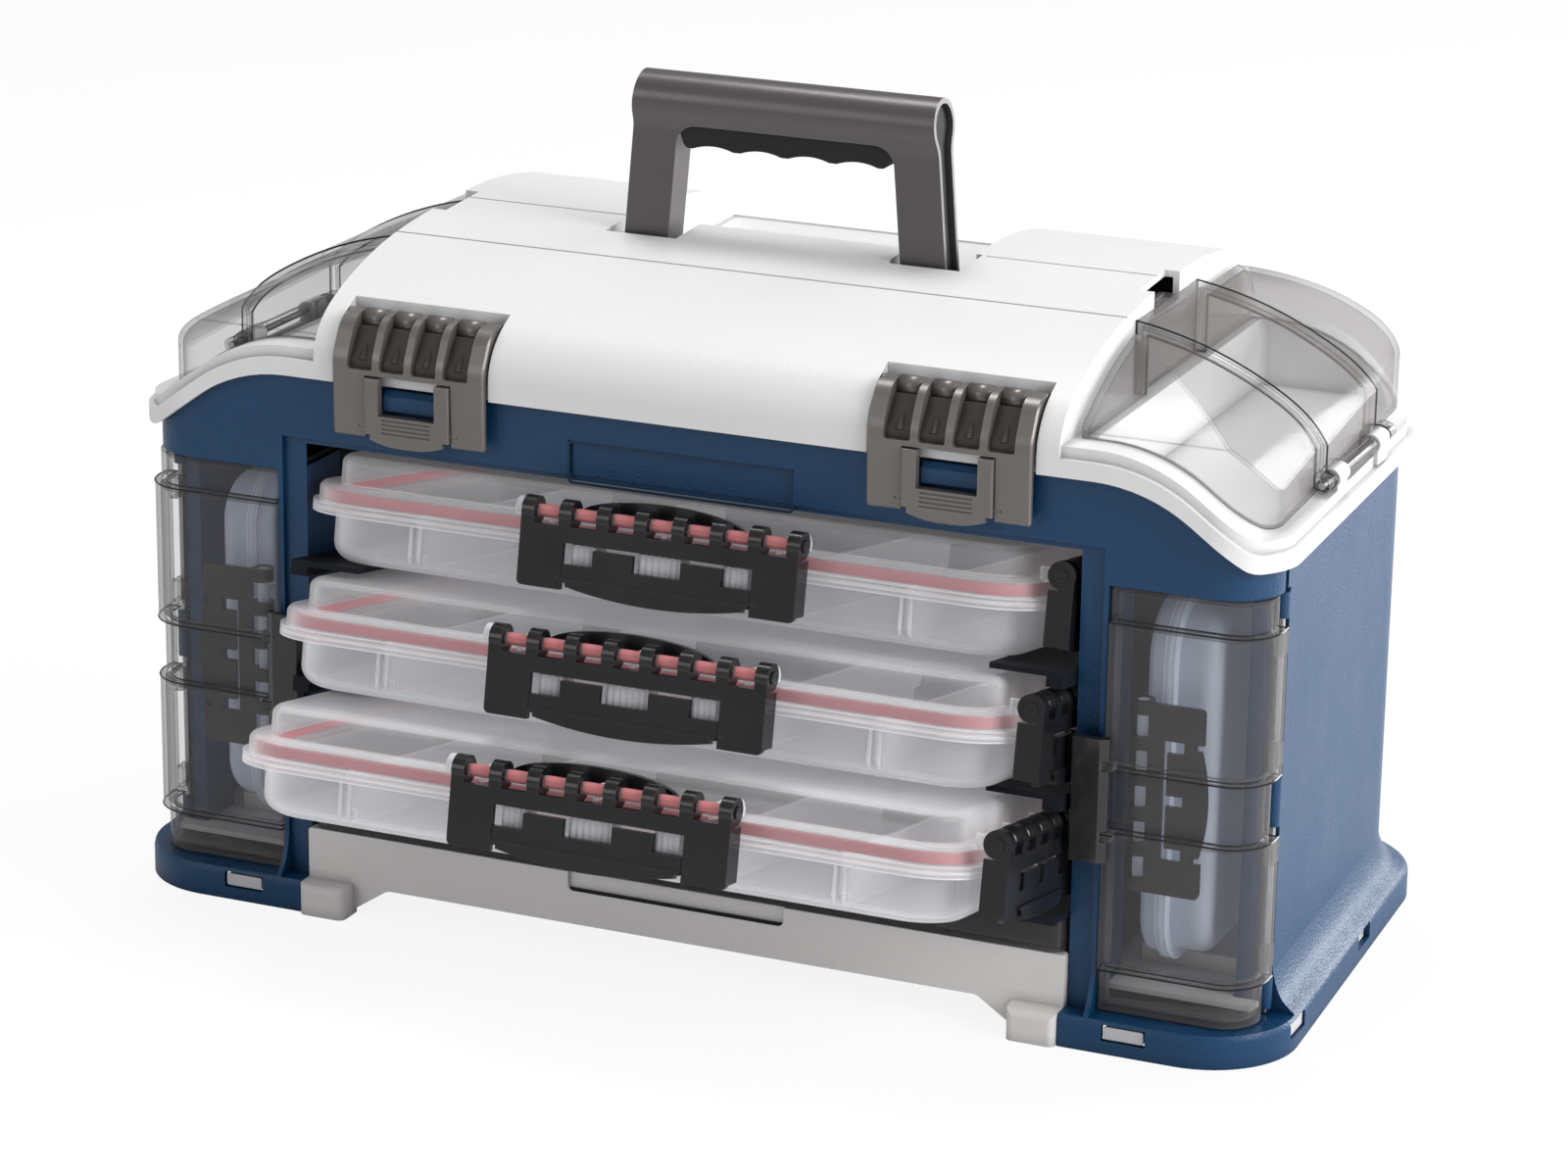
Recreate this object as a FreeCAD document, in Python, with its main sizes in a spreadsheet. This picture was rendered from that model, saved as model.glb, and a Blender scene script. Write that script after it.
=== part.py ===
import FreeCAD, Part
import Sketcher
import math
import os

# Fishing tackle cabinet: a moulded case with a domed lid, two tinted side doors,
# two tinted bin covers on the lid and three sealed utility boxes in a sloping rack.
# Modelled with X to the right, Y to the back and Z up from the middle of the plinth on the floor,
# then moved along Y at the end, so that the origin lies under the middle of the whole outline.

doc = FreeCAD.newDocument("tackle_cabinet")
sheet = doc.addObject("Spreadsheet::Sheet", "Sizes")

SIZES = {
    # case
    "plinth_width": 566, "plinth_rear_width": 544, "plinth_depth": 276, "plinth_height": 15,
    "plinth_front_radius": 42, "plinth_rear_radius": 46, "flare_height": 22,
    "case_width": 540, "case_rear_width": 524, "case_front_inset": 10, "case_rear_inset": 14,
    "case_front_radius": 24, "case_rear_radius": 50, "case_wall": 3,
    # line where lid and case part: level in the middle, dropping at both ends
    "rim_level": 255, "rim_drop": 33, "rim_slope": 36, "rim_end": 53.5, "rim_bend": 75,
    "rim_foot_bend": 12, "rim_gap": 0.4,
    # front bay
    "bay_width": 372, "bay_top": 222, "bay_border": 11, "bay_border_depth": 2.5,
    "pillar_depth": 34, "badge_width": 108, "badge_height": 20, "badge_base": 221,
    # lid
    "hinge_pin_radius": 2.5, "lid_overhang": 6, "bead_height": 8, "ledge_height": 5,
    "ledge_inset": 3, "lid_wall": 3,
    "dome_width": 354, "bin_floor": 234, "groove_width": 1.4, "groove_depth": 0.8,
    # lid covers
    "cover_wall": 2.2, "cover_band": 82, "cover_rise": 3, "cover_side_inset": 7.5,
    "cover_front_inset": 13.5, "cover_radius": 24, "cover_seat": 0.4, "cover_lug_length": 14,
    "cover_lug_spacing": 60, "cover_pin_radius": 1.6, "cover_barrel_radius": 3.5,
    # latches of the lid
    "latch_offset": 128.5, "latch_width": 75, "latch_thickness": 4, "latch_bottom": 232,
    "latch_pin_radius": 2, "latch_barrel_radius": 4.5, "latch_slot": 12.4, "latch_rib": 3.4,
    "lever_width": 42, "lever_top": 260, "lever_bottom": 229,
    # handle
    "handle_span": 162, "handle_top": 383, "handle_leg": 20, "handle_depth": 17, "handle_wall": 2.4,
    "handle_bar_radius": 12.5, "handle_taper": 9, "handle_pivot_height": 299, "handle_pin_radius": 3,
    "grip_length": 106, "grip_height": 13,
    # side doors
    "door_inner": 200, "door_top": 208, "door_wall": 2.2, "door_gap": 0.8, "door_step": 3,
    "door_corner": 20, "panel_low_base": 35, "panel_low_top": 99, "panel_high_base": 127,
    "panel_high_top": 193, "door_pin_radius": 1.5, "door_barrel_radius": 3.2,
    # rack of three boxes
    "box_count": 3, "box_tilt": 10.5, "box_pitch": 55.5, "box_top_level": 198, "box_lead": 15,
    "box_offset": 7.5,
    "box_width": 356, "box_length": 228, "box_radius": 30,
    "tray_inset": 9, "tray_depth_below": 25, "tray_edge_radius": 9, "box_wall": 1.8,
    "flange_thickness": 2.3,
    "band_height": 8.4, "panel_rise": 13, "panel_inset": 12, "gasket_height": 4.4,
    "rod_radius": 2.6, "ring_radius": 6.3, "ring_width": 6, "ring_reach": 7.5, "ring_height": 14.5,
    "clasp_width": 132, "clasp_rings": 8, "clasp_height": 33, "clasp_shift": 9.5, "clasp_plate": 3,
    "clasp_depth": 11.5, "side_clasp_width": 86, "side_clasp_rings": 6, "side_reach": 7.2,
    "pull_two": 33, "pull_three": 70,
    # boxes behind the side doors
    "side_box_length": 222, "side_box_width": 168, "side_box_radius": 26,
    # base
    "base_top": 39, "foot_width": 23, "foot_height": 15, "arch_height": 14, "arch_width": 290,
    "arch_slope": 18, "scoop_width": 106, "scoop_depth": 9,
    "drawer_top": 55.2, "drawer_length": 83, "drawer_wall": 2, "running_gap": 0.08,
}

for row, (alias, value) in enumerate(SIZES.items(), start=1):
    sheet.set(f"A{row}", alias)
    sheet.set(f"B{row}", str(value))
    sheet.setAlias(f"B{row}", alias)
doc.recompute()


def size(alias):
    return float(sheet.get(alias))


nodes = []
SIDES = {"right": 1, "left": -1}
BEYOND = 400.0           # longer than anything that is cut or kept with a region
JOIN = 0.5               # how far a rib or boss is let into the wall that carries it
X_AXIS = FreeCAD.Vector(1, 0, 0)
Y_AXIS = FreeCAD.Vector(0, 1, 0)
Z_AXIS = FreeCAD.Vector(0, 0, 1)


# ---------- small geometry tools ----------

def on_xy(level=0.0):
    return lambda u, v: FreeCAD.Vector(u, v, level)


def on_xz(station=0.0):
    return lambda u, v: FreeCAD.Vector(u, station, v)


def on_yz(station=0.0):
    return lambda u, v: FreeCAD.Vector(station, u, v)


def rounded_wire(corners, place):
    """Closed wire through corners (u, v, radius), each corner rounded by its radius."""
    edges, joints = [], []
    count = len(corners)
    for index, (u, v, radius) in enumerate(corners):
        before = corners[index - 1]
        after = corners[(index + 1) % count]
        a = FreeCAD.Vector(before[0] - u, before[1] - v, 0).normalize()
        b = FreeCAD.Vector(after[0] - u, after[1] - v, 0).normalize()
        here = FreeCAD.Vector(u, v, 0)
        if radius <= 0:
            joints.append((here, here, here))
            continue
        half = a.getAngle(b) / 2
        reach = radius / math.tan(half)
        bisector = (a + b).normalize()
        middle = here + bisector * (radius / math.sin(half) - radius)
        joints.append((here + a * reach, middle, here + b * reach))
    for index, (start, middle, end) in enumerate(joints):
        if (start - end).Length > 1e-6:
            edges.append(Part.Arc(*[place(p.x, p.y) for p in (start, middle, end)]).toShape())
        following = joints[(index + 1) % count][0]
        if (end - following).Length > 1e-6:
            edges.append(Part.LineSegment(place(end.x, end.y),
                                          place(following.x, following.y)).toShape())
    return Part.Wire(edges)


def prism(wire, direction):
    return Part.Face(wire).extrude(direction)


def block(x0, x1, y0, y1, z0, z1):
    return Part.makeBox(x1 - x0, y1 - y0, z1 - z0, FreeCAD.Vector(x0, y0, z0))


def rod(radius, start, end):
    way = end - start
    return Part.makeCylinder(radius, way.Length, start, way)


def x_span(x0, x1, y, z):
    return (FreeCAD.Vector(x0, y, z), FreeCAD.Vector(x1, y, z))


def union(shapes):
    shapes = list(shapes)
    joined = shapes[0].fuse(shapes[1:]) if len(shapes) > 1 else shapes[0]
    return joined.removeSplitter()


def mirrored(shape):
    return shape.mirror(FreeCAD.Vector(0, 0, 0), X_AXIS)


def for_side(shape, side):
    return shape if side == "right" else mirrored(shape)


def inset_points(points, distance):
    """Points of an open outline moved to the right-hand side of its direction."""
    moved = []
    for index, (u, v) in enumerate(points):
        first = points[max(index - 1, 0)]
        last = points[min(index + 1, len(points) - 1)]
        du, dv = last[0] - first[0], last[1] - first[1]
        length = math.hypot(du, dv)
        moved.append((u + dv / length * distance, v - du / length * distance))
    return moved


def curve_region(points, floor, place):
    """Closed wire under a smooth curve through points, down to the floor level."""
    curve = Part.BSplineCurve()
    curve.interpolate([place(u, v) for u, v in points])
    first, last = points[0], points[-1]
    corners = [place(*last), place(last[0], floor), place(first[0], floor), place(*first)]
    lines = [Part.LineSegment(corners[i], corners[i + 1]).toShape() for i in range(3)]
    return Part.Wire([curve.toShape()] + lines)


def add_node(label, shape, placement=None):
    feature = doc.addObject("Part::Feature", label)
    feature.Label = label
    feature.Shape = shape
    if placement is not None:
        feature.Placement = placement
    nodes.append(feature)
    return feature


# ---------- outlines shared by case, lid and covers ----------

case_front = -(size("plinth_depth") / 2 - size("case_front_inset"))
case_back = size("plinth_depth") / 2 - size("case_rear_inset")


def plan(inset, level, side_inset=None):
    """Outline of the case seen from above, moved in by inset (out when negative)."""
    side = inset if side_inset is None else side_inset
    front = size("case_width") / 2 - side
    rear = size("case_rear_width") / 2 - side
    front_radius = max(size("case_front_radius") - inset, 4)
    rear_radius = max(size("case_rear_radius") - inset, 4)
    y0, y1 = case_front + inset, case_back - inset
    return rounded_wire([(-front, y0, front_radius), (front, y0, front_radius),
                         (rear, y1, rear_radius), (-rear, y1, rear_radius)], on_xy(level))


def plan_prism(inset, low, high, side_inset=None):
    return prism(plan(inset, low, side_inset), Z_AXIS * (high - low))


def parting_corners(shift):
    """Half outline of the parting line in the XZ plane, as corners with radii."""
    level = size("rim_level") + shift
    low = level - size("rim_drop")
    bend = size("case_width") / 2 - size("rim_end")
    foot = bend + size("rim_drop") / math.tan(math.radians(size("rim_slope")))
    return [(-BEYOND, low, 0), (-foot, low, size("rim_foot_bend")), (-bend, level, size("rim_bend")),
            (bend, level, size("rim_bend")), (foot, low, size("rim_foot_bend")), (BEYOND, low, 0)]


def below_parting(shift):
    corners = parting_corners(shift) + [(BEYOND, -50, 0), (-BEYOND, -50, 0)]
    return prism(rounded_wire(corners, on_xz(-BEYOND)), Y_AXIS * 2 * BEYOND)


def above_parting(shift):
    corners = parting_corners(shift) + [(BEYOND, BEYOND, 0), (-BEYOND, BEYOND, 0)]
    return prism(rounded_wire(corners, on_xz(-BEYOND)), Y_AXIS * 2 * BEYOND)


rim_low = size("rim_level") - size("rim_drop")
rim_top = size("bead_height") + size("ledge_height")     # height of the lid's rim over the parting line
hinge_y = case_back + size("lid_overhang")
hinge_z = size("rim_level") + 3
half_bay = size("bay_width") / 2
tilt = math.radians(size("box_tilt"))


# ---------- case ----------

def plinth_outline(share, level, inset=0.0):
    """Outline between the plinth (share 0) and the case wall (share 1)."""
    def mix(first, second):
        return first + (second - first) * share
    front = mix(size("plinth_width"), size("case_width")) / 2
    rear = mix(size("plinth_rear_width"), size("case_rear_width")) / 2
    y0 = -size("plinth_depth") / 2 + mix(0, size("case_front_inset"))
    y1 = size("plinth_depth") / 2 - mix(0, size("case_rear_inset"))
    front_radius = mix(size("plinth_front_radius"), size("case_front_radius"))
    rear_radius = mix(size("plinth_rear_radius"), size("case_rear_radius"))
    front, rear, y0, y1 = front - inset, rear - inset, y0 + inset, y1 - inset
    front_radius, rear_radius = front_radius - inset, rear_radius - inset
    return rounded_wire([(-front, y0, front_radius), (front, y0, front_radius),
                         (rear, y1, rear_radius), (-rear, y1, rear_radius)], on_xy(level))


def make_flare():
    """Plinth band with an S-shaped shoulder that runs up into the case wall."""
    band = size("plinth_height")
    steps = [(0.0, 0.0), (0.0, band - 4), (0.06, band - 1), (0.3, band + 2), (0.62, band + 6),
             (0.88, band + 13), (1.0, band + size("flare_height"))]
    lower = Part.makeLoft([plinth_outline(s, z) for s, z in steps[:2]], True, True)
    upper = Part.makeLoft([plinth_outline(s, z) for s, z in steps[1:]], True, False)
    return lower.fuse(upper)


door_top = size("door_top")
door_inner = size("door_inner")
door_gap = size("door_gap")
door_hinge_x = size("case_width") / 2 - 3.2
door_hinge_y = case_front + 29
post_back = door_hinge_y + 7
lug_bands = ((18, 32), (102, 124), (196, door_top - 0.5))


def case_uprights():
    """Pillar beside the bay and hinge post of the door: x0, x1, y0, y1 and foot level (right side)."""
    return ((half_bay, door_inner - door_gap, case_front, case_front + size("pillar_depth"), 10),
            (door_hinge_x - 12, door_hinge_x - 5.5, door_hinge_y - 4, post_back + 14, 12))


def make_case():
    wall = size("case_wall")
    shell = plan_prism(0, 0, BEYOND).common(below_parting(-size("rim_gap")))
    shell = shell.fuse(make_flare())
    hollow = plan_prism(wall, -1, BEYOND)
    shell = shell.cut(hollow)
    plinth_hollow = prism(plinth_outline(0.0, -1, wall), Z_AXIS * (size("plinth_height") - 2))
    shell = shell.cut(plinth_hollow)
    outer = size("case_width")
    pieces = []
    for sign in SIDES.values():
        for x0, x1, y0, y1, z in case_uprights():
            pieces.append(block(*sorted((sign * x0, sign * x1)), y0, y1, z, door_top + 3))
    shell = shell.fuse(pieces)
    # openings
    bay = block(-half_bay, half_bay, -BEYOND, case_front + size("pillar_depth") + 5, -5, size("bay_top"))
    border = half_bay + size("bay_border")
    frame = block(-border, border, -BEYOND, case_front + size("bay_border_depth"),
                  size("plinth_height"), size("bay_top") + 3)
    badge = block(-size("badge_width") / 2, size("badge_width") / 2, -BEYOND,
                  case_front + 1.6, size("badge_base"), size("badge_base") + size("badge_height"))
    cuts = [bay, frame, badge]
    for sign in SIDES.values():
        low, high = sorted((sign * (door_inner - door_gap), sign * outer))
        cuts.append(block(low, high, -BEYOND, post_back - 3.3, size("plinth_height"), door_top + door_gap)
                    .cut(block(*sorted((sign * (door_hinge_x - 12), sign * (door_hinge_x - 5.5))),
                               door_hinge_y - 4, post_back, 0, BEYOND)))
        low, high = sorted((sign * (outer / 2 - 3.4), sign * outer))
        groove = block(low, high, post_back - 14, post_back - 4, door_top - 1, BEYOND)
        cuts.append(groove.common(block(-outer, outer, post_back - 12, post_back - 7, 0, BEYOND)))
        cuts += plinth_windows(sign)
    shell = shell.cut(cuts)
    extras = catches() + case_hinge_lugs() + door_hinge_lugs()
    return union([shell] + extras)


def plinth_windows(sign):
    """Snap windows in the plinth: one in front and two on each side."""
    low, high = 6, 13.5
    front = -size("plinth_depth") / 2
    side = size("plinth_width") / 2
    spans = [block(*sorted((sign * 206, sign * 226)), front - 5, front + 8, low, high)]
    for station in (-103, 9):
        spans.append(block(*sorted((sign * (side - 16), sign * (side + 5))), station, station + 20, low, high))
    return spans


def catches():
    """Striker behind the window of each lid latch, with a sloped top."""
    made = []
    for sign in SIDES.values():
        centre = sign * size("latch_offset")
        outline = [(case_front + JOIN, 243), (case_front - 6.2, 245), (case_front - 6.2, 251.5),
                   (case_front - 4, 254), (case_front + JOIN, 254)]
        wire = Part.makePolygon([FreeCAD.Vector(centre - 13.2, y, z) for y, z in outline + outline[:1]])
        made.append(prism(wire, X_AXIS * 26.4))
    return made


hinge_stations = (-150, 150)
hinge_pin_radius = size("hinge_pin_radius")
hinge_knuckle = 5.2


def case_hinge_lugs():
    """Two pairs of lugs on the back wall that hold the lid's hinge pins."""
    made = []
    for station in hinge_stations:
        for shift in (-26, 14):
            x0 = station + shift
            eye = rod(hinge_knuckle, *x_span(x0, x0 + 12, hinge_y, hinge_z))
            arm = block(x0, x0 + 12, case_back - 2, hinge_y + 2, hinge_z - 24, hinge_z - 4)
            lug = eye.fuse(arm).cut(block(x0 - 1, x0 + 13, -BEYOND, case_back - 1, 0, BEYOND))
            bore = rod(hinge_pin_radius + size("running_gap"), FreeCAD.Vector(x0 - 1, hinge_y, hinge_z),
                       FreeCAD.Vector(x0 + 13, hinge_y, hinge_z))
            made.append(lug.cut(bore))
    return made


def door_hinge_lugs():
    """Lugs on the hinge post, one in each inset band of the door, bored for the door pin."""
    made = []
    bore_radius = size("door_pin_radius") + size("running_gap")
    for sign in SIDES.values():
        axis = FreeCAD.Vector(sign * door_hinge_x, door_hinge_y, 0)
        for low, high in lug_bands:
            eye = Part.makeCylinder(size("door_barrel_radius"), high - low, axis + Z_AXIS * low)
            arm = block(*sorted((sign * (door_hinge_x - 6), sign * (door_hinge_x + 2.4))),
                        door_hinge_y, post_back - 2, low, high)
            bore = Part.makeCylinder(bore_radius, high - low + 2, axis + Z_AXIS * (low - 1))
            made.append(eye.fuse(arm).cut(bore))
    return made


add_node("body_shell", make_case())


# ---------- base with feet, arch and snap tabs ----------

floor_top = 22.5
side_box_centre = 114.5          # level of the middle of the boxes behind the side doors


def make_base():
    top = size("base_top")
    wall = size("case_wall")
    half = half_bay - 0.4
    front = case_front - 2
    arch = size("arch_width") / 2
    slope = size("arch_slope")
    outline = [(-half, 2, 0), (-arch - slope, 2, 3), (-arch, size("arch_height"), 6),
               (arch, size("arch_height"), 6), (arch + slope, 2, 3), (half, 2, 0),
               (half, top, 1.5), (-half, top, 1.5)]
    fascia = prism(rounded_wire(outline, on_xz(front)), Y_AXIS * 5)
    scoop = prism(rounded_wire([(-size("scoop_width") / 2, top - size("scoop_depth"), 3),
                                (size("scoop_width") / 2, top - size("scoop_depth"), 3),
                                (size("scoop_width") / 2, top + 5, 0),
                                (-size("scoop_width") / 2, top + 5, 0)], on_xz(front - 1)), Y_AXIS * 3)
    fascia = fascia.cut(scoop)
    floor = plan_prism(wall + 0.4, floor_top - 2.5, floor_top)
    shelf = block(-half + 2, half - 2, front + 4, case_front + size("drawer_length") + 6, top - 2.4, top)
    shelf_legs = [block(x, x + 3, front + 4, case_front + size("drawer_length") + 6, 22, top - 2)
                  for x in (-half + 2, -60, 57, half - 5)]
    pieces = [fascia, floor, shelf] + shelf_legs
    for sign in SIDES.values():
        outer = half
        low, high = sorted((sign * (outer - size("foot_width")), sign * outer))
        foot = block(low, high, front - 11, front + 3, 0, size("foot_height"))
        edges = [e for e in foot.Edges if e.CenterOfMass.y < front - 5 and e.CenterOfMass.z > 1]
        pieces.append(foot.makeFillet(3.5, edges))
        pieces.append(block(*sorted((sign * (outer - 2.5), sign * outer)), front + 2, case_front + 40, 0, 21))
        # tabs that show in the plinth windows, each on an arm from the floor
        y0 = -size("plinth_depth") / 2 + 1.2
        pieces.append(block(*sorted((sign * 207.2, sign * 224.8)), y0, y0 + 8, 7, 11.8))
        pieces.append(block(*sorted((sign * 210, sign * 222)), y0 + 6, case_front + 44, 8, 11))
        pieces.append(block(*sorted((sign * 210, sign * 222)), case_front + 38, case_front + 44, 8, 22))
        side = size("plinth_width") / 2
        for station in (-103, 9):
            edge_inset = 1.6 + (station + 140) * 0.055
            x1 = side - edge_inset
            pieces.append(block(*sorted((sign * (x1 - 9), sign * x1)), station + 1.2, station + 18.8, 7, 11.8))
            pieces.append(block(*sorted((sign * 246, sign * (x1 - 7))), station + 4, station + 16, 8, 10.5))
            pieces.append(block(*sorted((sign * 246, sign * 252)), station + 4, station + 16, 8, 22))
    # cradle ribs under the box that stands behind each side door
    cradle_top = side_box_centre - size("side_box_width") / 2 - 0.3
    for sign in SIDES.values():
        for station in (-80, 66):
            pieces.append(block(*sorted((sign * 204, sign * 248)), station, station + 6,
                                floor_top - 1, cradle_top))
    clear = 0.4
    room = []
    for x0, x1, y0, y1, z in case_uprights():
        for sign in SIDES.values():
            low, high = sorted((sign * (x0 - clear), sign * (x1 + clear)))
            room.append(block(low, high, y0 - clear, y1 + clear, z - clear, BEYOND))
    for sign in SIDES.values():
        # the door's lower wall, and its hinge lugs and pin
        room.append(block(*sorted((sign * 195, sign * BEYOND)), -BEYOND, case_front + 16, 15, BEYOND))
        room.append(block(*sorted((sign * (door_hinge_x - 13), sign * BEYOND)), door_hinge_y - 5,
                          post_back, 15, BEYOND))
    return union([union(pieces).cut(room)])


add_node("base_frame", make_base())


# ---------- rack: two guide walls, the shelf and the tinted drawer ----------

def rack_place(index):
    """Sloping plane of a racked box, at the middle of the bay."""
    level = size("box_top_level") - size("box_pitch") * index
    return FreeCAD.Placement(FreeCAD.Vector(0, case_front - size("box_lead"), level),
                             FreeCAD.Rotation(X_AXIS, -size("box_tilt")))


def box_pull(index):
    return (0.0, size("pull_two"), size("pull_three"))[index]


def box_place(index):
    """Place of a box: origin at the front of its flange, off the middle to leave its side clasp room."""
    home = rack_place(index)
    out = FreeCAD.Vector(0, -math.cos(tilt), math.sin(tilt)) * box_pull(index)
    return FreeCAD.Placement(home.Base + out - X_AXIS * size("box_offset"), home.Rotation)


ledge_top = -size("tray_depth_below") - 0.3
guide_face = half_bay + 3.5


def make_guide(side):
    sign = SIDES[side]
    y0 = case_front + size("pillar_depth") + 0.4
    y1 = case_back - size("case_wall") - 0.4
    wall = block(guide_face, guide_face + 3, y0, y1, 23, door_top + 1)
    pieces = [wall]
    for index in range(int(size("box_count")) - 1):
        ledge = block(guide_face - 38, guide_face + 1, 6, 236, ledge_top - 2.6, ledge_top)
        brace = block(guide_face - 12, guide_face + 1, 6, 236, ledge_top - 7, ledge_top - 2)
        for piece in (ledge, brace):
            piece.Placement = rack_place(index)
            kept = piece.common(block(0, half_bay - 0.4, -BEYOND, y1, 0, BEYOND)
                                .fuse(block(0, guide_face + 1, y0, y1, 0, BEYOND)))
            pieces.append(kept)
    return for_side(union(pieces), side)


for side in SIDES:
    add_node(f"rack_guide_{side}", make_guide(side))


def make_shelf():
    """Sloping shelf under the lowest box, carried by the guide walls behind the pillars."""
    index = int(size("box_count")) - 1
    plate = block(-BEYOND, BEYOND, 4, 219, ledge_top - 2.6, ledge_top)
    lip = block(-BEYOND, BEYOND, 4, 6.5, ledge_top - 3.6, ledge_top - 2)
    shelf = plate.fuse(lip)
    shelf.Placement = rack_place(index)
    front_part = block(-half_bay + 0.5, half_bay - 0.5, -BEYOND, BEYOND, floor_top, BEYOND)
    side = guide_face - 0.05
    rear_part = block(-side, side, case_front + size("pillar_depth") + 0.4, BEYOND, floor_top, BEYOND)
    return union([shelf.common(front_part.fuse(rear_part))])


add_node("bay_shelf", make_shelf())


def make_drawer():
    """Wedge-shaped tinted drawer under the shelf; its top follows the shelf's slope."""
    wall = size("drawer_wall")
    half = half_bay - 2.2
    base = size("base_top") + 0.06
    top = size("drawer_top")
    front = case_front - 1
    length = size("drawer_length")
    fall = length * math.tan(tilt)

    def wedge(inset, low, high):
        outline = [(front + inset, low), (front + length - inset, low),
                   (front + length - inset, high - fall), (front + inset, high)]
        points = [FreeCAD.Vector(-half + inset, y, z) for y, z in outline + outline[:1]]
        return prism(Part.makePolygon(points), X_AXIS * 2 * (half - inset))

    outer = wedge(0, base, top)
    fronts = [e for e in outer.Edges
              if e.CenterOfMass.y < front + 1 and abs(abs(e.CenterOfMass.x) - half) < 1]
    outer = outer.makeFillet(6, fronts)
    shell = outer.cut(wedge(wall, base + wall, top + 20))
    ribs = [block(x, x + 1.8, front + 1, front + length - 1, base + 1, top - 3).common(outer)
            for x in (-half + 60, -half / 3, half / 3, half - 62)]
    return union([shell] + ribs)


add_node("bottom_drawer", make_drawer())


# ---------- bin under the lid ----------

def make_top_bin():
    """Storage liner of the case: sloping floor over the racked boxes, flat over the side bays."""
    wall = 2.2
    y0 = case_front + size("case_wall") + 0.5
    y1 = case_back - size("case_wall") - 0.5
    front_level = size("box_top_level") + 24.5
    rear_level = front_level - (y1 - y0) * math.tan(tilt)
    inner = guide_face - 0.3
    side_level = door_top + 4

    def slab(x0, x1, shift):
        outline = [(y0, front_level + shift), (y1, rear_level + shift),
                   (y1, rear_level + shift + wall), (y0, front_level + shift + wall)]
        points = [FreeCAD.Vector(x0, y, z) for y, z in outline + outline[:1]]
        return prism(Part.makePolygon(points), X_AXIS * (x1 - x0))

    def cheek(x0, x1):
        cheek_top = side_level + wall + 9
        outline = [(y0, front_level), (y1, rear_level), (y1, cheek_top), (y0, cheek_top)]
        points = [FreeCAD.Vector(x0, y, z) for y, z in outline + outline[:1]]
        return prism(Part.makePolygon(points), X_AXIS * (x1 - x0))

    pieces = [slab(-inner, inner, 0), cheek(inner - wall, inner), cheek(-inner, wall - inner)]
    ring = plan_prism(size("case_wall") + 0.5, side_level, side_level + wall)
    ring = ring.cut(block(-inner + wall, inner - wall, -BEYOND, BEYOND, 0, BEYOND))
    return union(pieces + [ring])


add_node("top_bin", make_top_bin())


# ---------- lid ----------

dome_half = size("dome_width") / 2
strip_front = case_front + 74.6          # groove at the front of the handle strip
strip_back = case_front + 133.8          # groove where the rear blocks begin
dome_points = [(case_front - 6, 262), (case_front - 4.5, 271), (case_front + 2, 280.5),
               (case_front + 14.4, 288.5), (case_front + 40, 298), (case_front + 66.5, 304),
               (case_front + 103, 308), (case_front + 135.6, 309.8), (case_front + 173, 310),
               (case_back - 44, 306), (case_back - 19, 299), (case_back - 6, 289),
               (case_back - 1, 275), (case_back, 262)]
recess_half = size("handle_span") / 2 + 3
recess_floor = size("handle_pivot_height") - size("handle_bar_radius") - 0.8
slot_inner = size("handle_span") / 2 - size("handle_leg") - 9.5
slot_outer = size("handle_span") / 2 + 6
slot_front = -size("handle_depth") - 3
pivot_y = -size("handle_depth") / 2
pivot_z = size("handle_pivot_height")
latch_pin_y = case_front + 10.5
latch_pin_z = 281.6
latch_half = size("latch_width") / 2


def dome(inset, half):
    points = inset_points(dome_points, inset)
    wire = curve_region(points, 200, on_yz(-half))
    return prism(wire, X_AXIS * 2 * half)


def latch_recess(margin):
    """Room for a lid latch in the lid's front; margin grows it on every side."""
    half = latch_half + 1 + margin
    outline = [(case_front - 30, 225), (case_front - 30, 330), (case_front + 16.5 + margin, 330),
               (case_front + 16.5 + margin, 275 - margin), (case_front + 6 + margin, 273 - margin),
               (case_front - 2.6 + margin, 262 - margin), (case_front - 2.6 + margin, 225)]
    made = []
    for sign in SIDES.values():
        centre = sign * size("latch_offset")
        points = [FreeCAD.Vector(centre - half, y, z) for y, z in outline + outline[:1]]
        made.append(prism(Part.makePolygon(points), X_AXIS * 2 * half))
    return made


def handle_recess(margin):
    """Well the folded handle lies in, with a pivot slot for each leg."""
    floor = recess_floor - margin
    well = block(-recess_half - margin, recess_half + margin, strip_back - margin, case_back - 4.5, floor, 400)
    slots = [block(*sorted((sign * (slot_inner - margin), sign * (slot_outer + margin))),
                   slot_front - margin, strip_back + 2 + margin, pivot_z - 11 - margin, 400)
             for sign in SIDES.values()]
    return [well] + slots


def bin_outline(inset, level):
    """Outline of one end bin of the lid (right side)."""
    side = size("cover_side_inset") - size("lid_overhang") + inset
    front = size("case_width") / 2 - side
    rear = size("case_rear_width") / 2 - side
    y0 = case_front - size("lid_overhang") + size("cover_front_inset") + inset
    y1 = case_back + size("lid_overhang") - size("cover_front_inset") - inset + 3
    x0 = dome_half + 3 + inset
    radius = max(size("cover_radius") - inset, 5)
    return rounded_wire([(x0, y0, 3), (front, y0, radius), (rear, y1, radius), (x0, y1, 3)], on_xy(level))


def end_bin(inset, low, high):
    return prism(bin_outline(inset, low), Z_AXIS * (high - low))


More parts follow.
